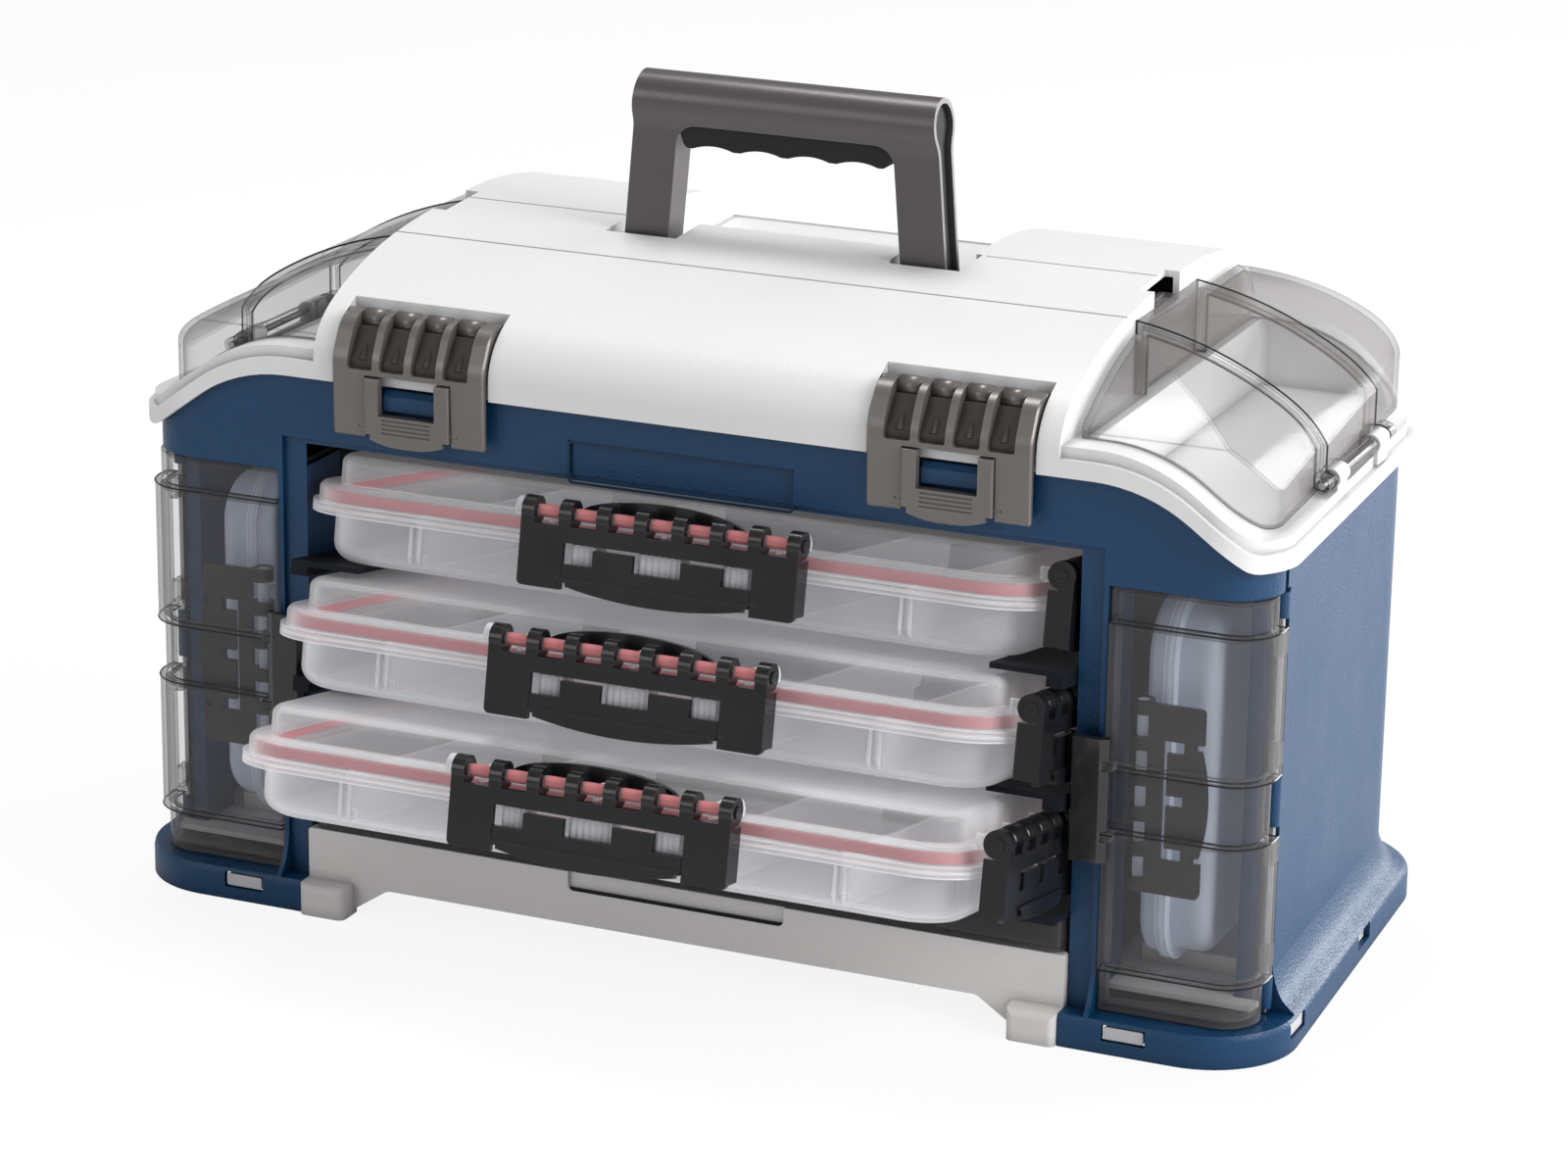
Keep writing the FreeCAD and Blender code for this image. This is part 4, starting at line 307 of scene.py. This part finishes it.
def useGroup(tree, key, values=None, links=None):
    node = tree.nodes.new("ShaderNodeGroup")
    node.node_tree = groups[key]
    for title, value in (values or {}).items():
        node.inputs[title].default_value = value
    for title, source in (links or {}).items():
        tree.links.new(source, node.inputs[title])
    return node


opaqueBase = {"cloud": 9.0, "edge": 0.0012, "smear": 0.08, "relief": 0.0006, "reach": 0.006, "creaseShade": 0.55}
clearBase = {"cloud": 14.0, "drift": 0.03, "edge": 0.0014, "smear": 0.05, "grit": 0.8, "relief": 0.001,
             "blend": 0.5}


def joinShader(tree, shader, look, color, gloss, bump):
    shader.inputs["Specular IOR Level"].default_value = look["specular"]
    # painted glow: the piece gives off its own colour as light
    if "glow" in look:            # light scattered into the piece through clear walls
        shader.inputs["Emission Strength"].default_value = look["glow"]
        tree.links.new(color, shader.inputs["Emission Color"])
    tree.links.new(color, shader.inputs["Base Color"])
    tree.links.new(gloss.outputs["Roughness"], shader.inputs["Roughness"])
    tree.links.new(bump.outputs["Normal"], shader.inputs["Normal"])


def opaqueFinish(name, look):
    made, tree, shader = startMaterial(name)
    base = opaqueBase
    tone = useGroup(tree, "drift", {"Color": (*look["color"], 1), "Scale": base["cloud"],
                                    "Amount": look["drift"]})
    worn = useGroup(tree, "wearAndEdgeLines", {"EdgeColor": (*look["worn"], 1), "Radius": base["edge"],
                                   "Amount": look["wearAndEdgeLines"]}, {"Color": tone.outputs["Color"]})
    gloss = useGroup(tree, "handling", {"Roughness": look["roughness"], "Amount": base["smear"]})
    grain = useGroup(tree, "grain", {"Scale": look["grain"], "Grit": look["grit"]})
    bump = addNode(tree, "Bump", {"Strength": look["depth"], "Distance": base["relief"]},
                   {"Height": grain.outputs["Height"]})
    # painted shade in grooves and inside corners
    creaseShaded = useGroup(tree, "paintedCreaseShade", {"Reach": base["reach"], "Amount": base["creaseShade"]},
                    {"Color": worn.outputs["Color"]})
    shader.inputs["Metallic"].default_value = look.get("metallic", 0.0)
    joinShader(tree, shader, look, creaseShaded.outputs["Color"], gloss, bump)
    return made


def clearFinish(name, look):
    made, tree, shader = startMaterial(name)
    base = clearBase
    tone = useGroup(tree, "drift", {"Color": (*look["color"], 1), "Scale": base["cloud"],
                                    "Amount": base["drift"]})
    gloss = useGroup(tree, "handling", {"Roughness": look["roughness"], "Amount": base["smear"]})
    grain = useGroup(tree, "grain", {"Scale": look["grain"], "Grit": base["grit"]})
    bump = addNode(tree, "Bump", {"Strength": look["depth"], "Distance": base["relief"]},
                   {"Height": grain.outputs["Height"]})
    # painted light: the walls turn more opaque toward grazing angles, standing in for the stronger
    # reflection of clear plastic there
    facing = addNode(tree, "LayerWeight", {"Blend": base["blend"]})
    slant = calc(tree, "POWER", facing.outputs["Facing"], look["curve"])
    cover = addNode(tree, "MapRange", {"To Min": look["face"], "To Max": look["rim"]}, {"Value": slant})
    # painted edge lines: the edge colour and firmer opacity along the edges, highlights on the pale boxes
    # and shade on the smoked covers and doors
    edge = useGroup(tree, "wearAndEdgeLines", {"EdgeColor": (*look["edge"], 1), "Radius": base["edge"],
                                   "Amount": look["line"]}, {"Color": tone.outputs["Color"]})
    solid = calc(tree, "ADD", cover.outputs["Result"], edge.outputs["Mask"], clamp=True)
    joinShader(tree, shader, look, edge.outputs["Color"], gloss, bump)
    tree.links.new(solid, shader.inputs["Alpha"])
    return made


materials = {name: opaqueFinish(name, look) for name, look in opaqueFinishes.items()}
materials.update({name: clearFinish(name, look) for name, look in clearFinishes.items()})
print("finishes built:", len(materials))


# frame nodes that stay: each takes a finish by the words in its name

finishWords = [
    ("side_box_right_tray", "sideFrost"), ("side_box_right_lid", "sideFrost"),
    ("side_box_left_tray", "sideFrost"), ("side_box_left_lid", "sideFrost"),
    ("gasket", "sealRed"), ("clasp", "claspBlack"), ("door_catch", "catchSmoke"), ("_pins", "pinSteel"),
    ("grip", "gripRubber"), ("body_shell", "caseBlue"), ("base_frame", "baseGrey"),
    # the rack guides, bay shelf and top bin take the painted shade of the bay's inside
    ("rack_guide", "shadeDark"), ("bay_shelf", "shadeDark"), ("top_bin", "shadeDark"),
    ("lid_shell", "lidWhite"), ("end_cover", "coverClear"), ("side_door", "smokedClear"),
    ("bottom_drawer", "smokedClear"), ("latch", "latchGrey"), ("handle", "handleGrey"),
    ("tray", "boxClear"), ("lid", "lidClear"), ("dividers", "boxClear"),
]


def dressNodes():
    for name, obj in nodes.items():
        finish = next(look for word, look in finishWords if word in name)
        obj.data.materials.clear()
        obj.data.materials.append(materials[finish])


dressNodes()
print("frame nodes dressed")


# mesh helpers: outlines are in millimetres and each piece is built in the frame of what carries it

def arcPoints(centre, radius, start, stop, steps):
    spread = [math.radians(start + (stop - start) * n / steps) for n in range(steps + 1)]
    return [(centre[0] + radius * math.cos(a), centre[1] + radius * math.sin(a)) for a in spread]


def roundedRect(x0, x1, y0, y1, radius, steps=8):
    corners = ((x1 - radius, y0 + radius, -90), (x1 - radius, y1 - radius, 0),
               (x0 + radius, y1 - radius, 90), (x0 + radius, y0 + radius, 180))
    return [point for x, y, start in corners
            for point in arcPoints((x, y), radius, start, start + 90, steps)]


upright = {"z": lambda u, v, w: (u, v, w), "y": lambda u, v, w: (u, w, v), "x": lambda u, v, w: (w, u, v)}


def extrude(bm, outline, low, high, axis="z", soften=0.0, loops=2):
    # solid between two levels along an axis, with its cap edges rounded
    lay = upright[axis]
    rows = [[bm.verts.new(Vector(lay(u, v, level)) * mm) for u, v in outline] for level in (low, high)]
    count = len(outline)
    caps = [bm.faces.new(rows[0]), bm.faces.new(rows[1])]
    for n in range(count):
        m = (n + 1) % count
        bm.faces.new((rows[0][n], rows[0][m], rows[1][m], rows[1][n]))
    if soften:
        edges = list(dict.fromkeys(edge for cap in caps for edge in cap.edges))
        bmesh.ops.bevel(bm, geom=edges, offset=soften * mm, segments=loops, affect="EDGES", profile=0.5)


def ring(bm, outer, inner, low, high):
    # closed band between two outlines with the same number of points
    count = len(outer)
    loops = [[bm.verts.new(Vector((u, v, level)) * mm) for u, v in line]
             for line, level in ((outer, low), (outer, high), (inner, high), (inner, low))]
    for k in range(4):
        first, second = loops[k], loops[(k + 1) % 4]
        for n in range(count):
            m = (n + 1) % count
            bm.faces.new((first[n], first[m], second[m], second[n]))


def addPiece(name, body, finish, build, place=None, smooth=False):
    bm = bmesh.new()
    build(bm)
    if place is not None:
        bmesh.ops.transform(bm, matrix=place, verts=bm.verts)
    bmesh.ops.recalc_face_normals(bm, faces=bm.faces)
    mesh = bpy.data.meshes.new(name)
    bm.to_mesh(mesh)
    bm.free()
    for face in mesh.polygons:
        face.use_smooth = smooth
    made = bpy.data.objects.new(name, mesh)
    bpy.context.scene.collection.objects.link(made)
    mesh.materials.append(materials[finish])
    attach(made, body)
    return made


# racked boxes

rack = {"tilt": 10.5, "pitch": 55.5, "top": 198.0, "front": -97.0, "shift": -7.5,
        "pulls": (0.0, 33.0, 70.0)}
box = {"half": 178.0, "length": 228.0, "radius": 30.0, "inset": 9.0, "claspShift": 9.5, "sideAt": 56.0}


def boxPlace(index):
    tilt = math.radians(rack["tilt"])
    pull = rack["pulls"][index]
    spot = Vector((rack["shift"], rack["front"] - math.cos(tilt) * pull,
                   rack["top"] - rack["pitch"] * index + math.sin(tilt) * pull)) * mm
    return Matrix.Translation(spot) @ Matrix.Rotation(-tilt, 4, "X")


lip = {"outer": 4.75, "inner": 6.1, "low": 4.7, "high": 8.3}     # insets from the flange, and levels


def sealLip(bm):
    outer, inner = (roundedRect(-box["half"] + inset, box["half"] - inset, inset, box["length"] - inset,
                                box["radius"] - inset) for inset in (lip["outer"], lip["inner"]))
    ring(bm, outer, inner, lip["low"], lip["high"])


thumb = {"centre": 3.5, "half": 41.0, "foot": 10.9, "rise": 11.2, "near": 3.4, "far": 6.4, "steps": 28,
         "fullness": 0.8, "soften": 0.9}


def thumbTab(bm):
    outline = [(thumb["centre"] + thumb["half"] * math.cos(a),
                thumb["foot"] + thumb["rise"] * math.sin(a) ** thumb["fullness"])
               for a in (math.pi * n / thumb["steps"] for n in range(thumb["steps"] + 1))]
    extrude(bm, outline, thumb["near"], thumb["far"], "y", thumb["soften"], 3)


rodSpan = {"count": 8, "pitch": 18.0, "gap": 11.0, "reach": -7.5, "level": 14.5, "radius": 2.85,
           "soften": 0.5}


def rodSleeves(bm):
    first = box["claspShift"] - rodSpan["pitch"] * (rodSpan["count"] - 1) / 2
    outline = arcPoints((rodSpan["reach"], rodSpan["level"]), rodSpan["radius"], 200, 520, 20)
    for n in range(rodSpan["count"] - 1):
        middle = first + rodSpan["pitch"] * (n + 0.5)
        extrude(bm, outline, middle - rodSpan["gap"] / 2, middle + rodSpan["gap"] / 2, "x",
                rodSpan["soften"])


bosses = {"front": ((-36, 12.0), (0, 20.0), (36, 12.0)), "side": ((-23.5, 6.0), (0, 7.0), (23.5, 6.0)),
          "low": -8.6, "high": 1.7, "near": -9.7, "root": -0.2, "wave": 0.55, "wavelength": 3.2,
          "sideStep": 0.3, "soften": 0.3}      # front and side: the middle and width of each boss


def bossOutline(middle, width, near):
    # front edge in low vertical waves
    steps = max(6, int(width * 2))
    front = []
    for n in range(steps + 1):
        along = width * n / steps
        swell = bosses["wave"] * abs(math.sin(math.pi * along / bosses["wavelength"]))
        front.append((middle - width / 2 + along, near - swell))
    return front + [(middle + width / 2, bosses["root"]), (middle - width / 2, bosses["root"])]


def frontBosses(bm):
    for middle, width in bosses["front"]:
        outline = bossOutline(middle + box["claspShift"], width, bosses["near"])
        extrude(bm, outline, bosses["low"], bosses["high"], "z", bosses["soften"])


def sideBosses(bm):
    for middle, width in bosses["side"]:
        waves = bossOutline(middle, width, bosses["near"] + bosses["sideStep"])
        outline = [(box["half"] - v, box["sideAt"] + u) for u, v in waves]
        extrude(bm, outline, bosses["low"], bosses["high"], "z", bosses["soften"])


trayRib = {"at": (-118.0, -54.0, 54.0, 118.0), "apart": 4.6, "width": 1.3, "proud": 0.9, "low": -21.0,
           "high": -2.5, "let": 0.2, "bend": 4.3, "bendAt": 3.4, "bendRise": 4.0, "soften": 0.25}


def ribOutline():
    # straight down the tray's wall, then round towards its floor
    wall = box["inset"]
    proud = wall - trayRib["proud"]
    turn = trayRib["low"] + trayRib["bendRise"]
    outline = [(wall + trayRib["let"], trayRib["high"]), (proud, trayRib["high"]), (proud, turn)]
    outline += arcPoints((wall + trayRib["bendAt"], turn), trayRib["bend"], 180, 250, 6)
    return outline + [(wall + 2.4, trayRib["low"] + 0.6), (wall + 0.4, trayRib["low"] + 5)]


def trayRibs(bm):
    for middle in trayRib["at"]:
        for shift in (-trayRib["apart"] / 2, trayRib["apart"] / 2):
            x = middle + shift
            extrude(bm, ribOutline(), x - trayRib["width"] / 2, x + trayRib["width"] / 2, "x",
                    trayRib["soften"])


knuckle = {"at": (-63.0, 72.0), "width": 3.0, "middle": 1.5, "radius": 4.6, "foot": 10.8, "crown": 18.6,
           "soften": 0.6}


def rodKnuckles(bm):
    # eyelets behind the outer rings
    for x in knuckle["at"]:
        middle = knuckle["middle"]
        outline = [(middle - knuckle["radius"], knuckle["foot"])]
        outline += arcPoints((middle, knuckle["crown"] - knuckle["radius"]), knuckle["radius"], 180, 0, 10)
        outline += [(middle + knuckle["radius"], knuckle["foot"])]
        extrude(bm, outline, x - knuckle["width"] / 2, x + knuckle["width"] / 2, "x", knuckle["soften"])


caps = {"radius": 2.9, "thick": 0.9, "front": (-56.5, 75.5), "side": (13.0, 99.0), "sideReach": -7.2,
        "soften": 0.35}


def capOutline(across):
    return arcPoints((across, rodSpan["level"]), caps["radius"], 0, 345, 23)


def rodCaps(bm):
    # plugs on the rods' ends
    for x in caps["front"]:
        ends = sorted((x, x + math.copysign(caps["thick"], x)))
        extrude(bm, capOutline(rodSpan["reach"]), *ends, "x", caps["soften"])
    for y in caps["side"]:
        ends = sorted((y, y + math.copysign(caps["thick"], y - box["sideAt"])))
        extrude(bm, capOutline(box["half"] - caps["sideReach"]), *ends, "y", caps["soften"])


boxPieces = [("rodCaps", "claspBlack", rodCaps, False), ("sealLip", "sealRed", sealLip, True),
             ("thumbTab", "claspBlack", thumbTab, False), ("rodSleeves", "rodPink", rodSleeves, False),
             ("frontBosses", "bossFrost", frontBosses, False),
             ("sideBosses", "bossFrost", sideBosses, False),
             ("trayRibs", "ribFrost", trayRibs, False), ("knuckles", "ribFrost", rodKnuckles, False)]


def dressBoxes():
    for index in range(len(rack["pulls"])):
        for word, finish, build, smooth in boxPieces:
            addPiece(f"box{index + 1}_{word}", f"box{index + 1}", finish, build, boxPlace(index), smooth)


dressBoxes()
print("box pieces built")


# latches of the lid: dark backs of the slots, painted with the shade inside the latch, each with a small
# gusset

latch = {
    "offset": 128.5, "half": 37.0, "slots": 4, "slot": 12.4, "rib": 3.4,
    "back": [(-87.7, 262.6), (-87.6, 266.4), (-83.2, 272.2), (-77.2, 279.8)], "thick": 0.7, "lift": 0.35,
    "pivot": (-71.5, 281.6), "beam": (4.62, 5.25), "play": 0.2,
    "gussetHalf": 2.6, "gussetTip": (-0.9, 1.8), "gussetFoot": (-0.2, 0.6), "gussetMiddle": (-2.0, 1.2),
}


def slotMiddles():
    pitch = latch["slot"] + latch["rib"]
    return [(n - (latch["slots"] - 1) / 2) * pitch for n in range(latch["slots"])]


def latchShadeBack(bm):
    near = [(y - latch["thick"], z + latch["lift"]) for y, z in reversed(latch["back"])]
    extrude(bm, latch["back"] + near, -latch["half"], latch["half"], "x")
    low, high = latch["back"][1], latch["back"][2]
    for middle in slotMiddles():
        def corner(x, start, shift):
            return bm.verts.new(Vector((x, start[0] + shift[0], start[1] + shift[1])) * mm)
        tip = corner(middle, high, latch["gussetTip"])
        left = corner(middle - latch["gussetHalf"], low, latch["gussetFoot"])
        front = corner(middle, low, latch["gussetMiddle"])
        right = corner(middle + latch["gussetHalf"], low, latch["gussetFoot"])
        for face in ((left, front, tip), (front, right, tip), (right, left, tip), (left, right, front)):
            bm.faces.new(face)


def pivotShells(bm):
    # grey shells round the pivot, one in each slot
    outer = arcPoints(latch["pivot"], latch["beam"][1], 95, 215, 14)
    inner = arcPoints(latch["pivot"], latch["beam"][0], 215, 95, 14)
    reach = latch["slot"] / 2 - latch["play"]
    for middle in slotMiddles():
        extrude(bm, outer + inner, middle - reach, middle + reach, "x")


for side, sign in sides.items():
    at = Matrix.Translation((sign * latch["offset"] * mm, 0, 0))
    addPiece(f"latchShadeBack_{side}", f"latch_{side}", "latchShade", latchShadeBack, at)
    addPiece(f"pivotShells_{side}", "lid", "latchGrey", pivotShells, at, True)
print("latch pieces built")


# white snap tabs in the windows of the plinth

tabs = {"front": (206.8, 225.2, -91.3), "side": ((-103.0, 279.4), (9.0, 273.2)), "low": 6.7, "high": 12.6,
        "shift": 46.8, "length": 18.4, "proud": 0.35, "thick": 1.2, "round": 1.0, "soften": 0.35}


def snapTabs(sign):
    def build(bm):
        x0, x1, y = tabs["front"]
        outline = roundedRect(*sorted((sign * x0, sign * x1)), tabs["low"], tabs["high"], tabs["round"], 4)
        extrude(bm, outline, y, y + tabs["thick"], "y", tabs["soften"])
        for station, x in tabs["side"]:
            y0 = station + tabs["shift"]
            outline = roundedRect(y0, y0 + tabs["length"], tabs["low"], tabs["high"], tabs["round"], 4)
            ends = sorted((sign * (x - tabs["thick"]), sign * (x + tabs["proud"])))
            extrude(bm, outline, *ends, "x", tabs["soften"])
    return build


for side, sign in sides.items():
    addPiece(f"snapTabs_{side}", "case", "tabWhite", snapTabs(sign))
print("snap tabs built")


# painted shade: dark lines along the steps of the tinted covers and doors, cut from their own outlines

steps = {"end_cover": ("y", (5.2, 86.8)), "side_door": ("z", (35.1, 98.9, 127.1, 192.9)), "thick": 0.85,
         "overrun": 0.6, "shortest": 1e-6}


def stepLines(node, axis, levels):
    way = Vector([1.0 if letter == axis else 0.0 for letter in "xyz"])

    def build(bm):
        edges = []
        for level in levels:
            cut = bmesh.new()
            cut.from_mesh(nodes[node].data)
            everything = cut.verts[:] + cut.edges[:] + cut.faces[:]
            bmesh.ops.bisect_plane(cut, geom=everything, plane_co=way * level * mm, plane_no=way,
                                   clear_inner=True, clear_outer=True)
            edges += [tuple(v.co.copy() for v in edge.verts) for edge in cut.edges]
            cut.free()
        for start, end in edges:
            along = end - start
            if along.length < steps["shortest"]:
                continue
            along.normalize()
            across = along.cross(way).normalized()
            grip = steps["thick"] * mm / 2
            offsets = [across * grip, way * grip, -across * grip, -way * grip]
            past = along * grip * steps["overrun"]
            rows = [[bm.verts.new(point + offset) for offset in offsets]
                    for point in (start - past, end + past)]
            bm.faces.new(rows[0])
            bm.faces.new(rows[1])
            for n in range(4):
                m = (n + 1) % 4
                bm.faces.new((rows[0][n], rows[0][m], rows[1][m], rows[1][n]))
    return build


for side in sides:
    for node, body in (("end_cover", "cover"), ("side_door", "door")):
        axis, levels = steps[node]
        addPiece(f"{body}Lines_{side}", f"{body}_{side}", "stepShadeLine",
                 stepLines(f"{node}_{side}", axis, levels))
print("step lines built")


# shadow line round the badge recess

badge = {"half": 54.0, "low": 221.0, "high": 241.0, "face": -82.0, "wide": 1.0, "proud": 0.1, "deep": 0.6,
         "round": (2.0, 1.2)}


def badgeEdge(bm):
    outer, inner = (roundedRect(-badge["half"] + inset, badge["half"] - inset, badge["low"] + inset,
                                badge["high"] - inset, radius, 4)
                    for inset, radius in zip((0.0, badge["wide"]), badge["round"]))
    back, front = badge["face"] + badge["deep"], badge["face"] - badge["proud"]
    rows = [[bm.verts.new(Vector((u, y, v)) * mm) for u, v in line]
            for line, y in ((outer, back), (outer, front), (inner, front), (inner, back))]
    count = len(outer)
    for k in range(4):
        near, far = rows[k], rows[(k + 1) % 4]
        for n in range(count):
            m = (n + 1) % count
            bm.faces.new((near[n], near[m], far[m], far[n]))


addPiece("badgeEdge", "case", "sillAndShadowBlue", badgeEdge)
print("badge edge built")


# shadow line along the foot of the scoop in the base

scoop = {"half": 52.9, "front": -83.9, "back": -81.7, "radius": 0.8, "low": 29.8, "high": 31.1,
         "soften": 0.15}


def scoopLine(bm):
    outline = roundedRect(-scoop["half"], scoop["half"], scoop["front"], scoop["back"], scoop["radius"], 4)
    extrude(bm, outline, scoop["low"], scoop["high"], "z", scoop["soften"])


addPiece("scoopLine", "case", "shadeDark", scoopLine)
print("scoop line built")


# floor of the plinth under each side door

sill = {"inner": 200.0, "outer": 268.0, "front": -88.5, "back": -46.0, "radius": 34.0, "low": 13.0,
        "high": 14.7, "soften": 0.3}


def doorSill(sign):
    def build(bm):
        outline = [(sign * sill["inner"], sill["back"]), (sign * sill["inner"], sill["front"])]
        centre = (sill["outer"] - sill["radius"], sill["front"] + sill["radius"])
        outline += [(sign * u, v) for u, v in arcPoints(centre, sill["radius"], -90, 0, 12)]
        outline += [(sign * sill["outer"], sill["back"])]
        extrude(bm, outline, sill["low"], sill["high"], "z", sill["soften"])
    return build


for side, sign in sides.items():
    addPiece(f"doorSill_{side}", "case", "sillAndShadowBlue", doorSill(sign))
print("door sills built")


# painted shade: a dark sheet inside the hollow handle, set back from each open end

bow = {"half": 81.0, "taper": 9.0, "top": 383.0, "foot": 279.0, "bar": 12.5, "leg": 8.5, "wall": 2.6,
       "setBack": 2.4, "thick": 1.5, "pivot": 37.5, "low": 287.0, "beyond": 5.0, "flare": 6.0}


def handleOutline():
    bar, leg = bow["bar"] - bow["wall"], bow["leg"] - bow["wall"]
    centre = bow["top"] - bow["bar"]
    neck = centre - math.sqrt(bar ** 2 - leg ** 2) - bow["flare"]
    right = [(leg, bow["low"]), (leg, neck - bow["flare"]),
             (leg + (bar - leg) * 0.3, neck + 1.5), (bar, centre - 1)]
    crown = arcPoints((0, centre), bar, 0, 180, 14)
    left = [(-u, v) for u, v in reversed(right)]
    return right + crown + left


def handleHollowShade(sign):
    def build(bm):
        rise = bow["top"] + bow["beyond"] - bow["foot"]
        rows = []
        for depth in (bow["setBack"], bow["setBack"] + bow["thick"]):
            row = []
            for u, v in handleOutline():
                x = bow["half"] - bow["taper"] * (v - bow["foot"]) / rise - depth
                row.append(bm.verts.new(Vector((sign * x, bow["pivot"] + u, v)) * mm))
            rows.append(row)
        count = len(rows[0])
        bm.faces.new(rows[0])
        bm.faces.new(rows[1])
        for n in range(count):
            m = (n + 1) % count
            bm.faces.new((rows[0][n], rows[0][m], rows[1][m], rows[1][n]))
    return build


for side, sign in sides.items():
    addPiece(f"handleHollowShade_{side}", "handle", "hollowShadeBlack", handleHollowShade(sign))
print("handle lining built")


# studio: pale floor, soft lamps, white surroundings

studio = {
    "floorSize": 6.0, "floorGlow": 0.88, "floorShade": 0.13, "skyLight": 0.36,
    "lamps": {"rightBank": ((2.4, -0.4, 1.2), 1.4, 52.0), "frontBank": ((-1.4, -2.4, 1.2), 1.2, 9.0),
              "topBank": ((-0.4, 0.5, 2.5), 0.8, 26.0), "backBank": ((1.6, 2.1, 0.6), 1.4, 52.0)},
    "aim": (0.0, 0.0, 0.18),
}


def seenDirectly(tree):
    # camera and see-through rays meet the white surroundings
    ray = addNode(tree, "LightPath").outputs
    return calc(tree, "MAXIMUM", ray["Is Camera Ray"], ray["Is Transmission Ray"])


def makeFloor():
    half = studio["floorSize"] / 2
    mesh = bpy.data.meshes.new("floor")
    corners = [(-half, -half, 0), (half, -half, 0), (half, half, 0), (-half, half, 0)]
    mesh.from_pydata(corners, [], [(0, 1, 2, 3)])
    floor = bpy.data.objects.new("floor", mesh)
    bpy.context.scene.collection.objects.link(floor)
    made = bpy.data.materials.new("floorWhite")
    made.use_nodes = True
    tree = made.node_tree
    tree.nodes.clear()
    plain = addNode(tree, "BsdfDiffuse", {"Color": (0.8, 0.8, 0.8, 1)})
    shade = addNode(tree, "BsdfDiffuse", {"Color": (studio["floorShade"],) * 3 + (1,)})
    glow = addNode(tree, "Emission", {"Strength": studio["floorGlow"]})
    both = tree.nodes.new("ShaderNodeAddShader")
    tree.links.new(shade.outputs[0], both.inputs[0])
    tree.links.new(glow.outputs[0], both.inputs[1])
    mix = tree.nodes.new("ShaderNodeMixShader")
    tree.links.new(seenDirectly(tree), mix.inputs[0])
    tree.links.new(plain.outputs[0], mix.inputs[1])
    tree.links.new(both.outputs[0], mix.inputs[2])
    out = tree.nodes.new("ShaderNodeOutputMaterial")
    tree.links.new(mix.outputs[0], out.inputs["Surface"])
    mesh.materials.append(made)


def makeSky():
    world = bpy.data.worlds.new("whiteSky")
    bpy.context.scene.world = world
    world.use_nodes = True
    tree = world.node_tree
    tree.nodes.clear()
    lit = addNode(tree, "Background", {"Strength": studio["skyLight"]})
    seen = addNode(tree, "Background", {"Strength": 1.0})
    for node in (lit, seen):
        node.inputs["Color"].default_value = (1, 1, 1, 1)
    mix = tree.nodes.new("ShaderNodeMixShader")
    tree.links.new(seenDirectly(tree), mix.inputs[0])
    tree.links.new(lit.outputs[0], mix.inputs[1])
    tree.links.new(seen.outputs[0], mix.inputs[2])
    out = tree.nodes.new("ShaderNodeOutputWorld")
    tree.links.new(mix.outputs[0], out.inputs["Surface"])


def makeLamps():
    for name, (spot, size, power) in studio["lamps"].items():
        data = bpy.data.lights.new(name, "AREA")
        data.shape = "SQUARE"
        data.size = size
        data.energy = power
        lamp = bpy.data.objects.new(name, data)
        lamp.location = spot
        way = Vector(studio["aim"]) - Vector(spot)
        lamp.rotation_euler = way.to_track_quat("-Z", "Y").to_euler()
        bpy.context.scene.collection.objects.link(lamp)


makeFloor()
makeSky()
makeLamps()
bpy.context.scene.view_settings.view_transform = "Standard"
print("studio built")
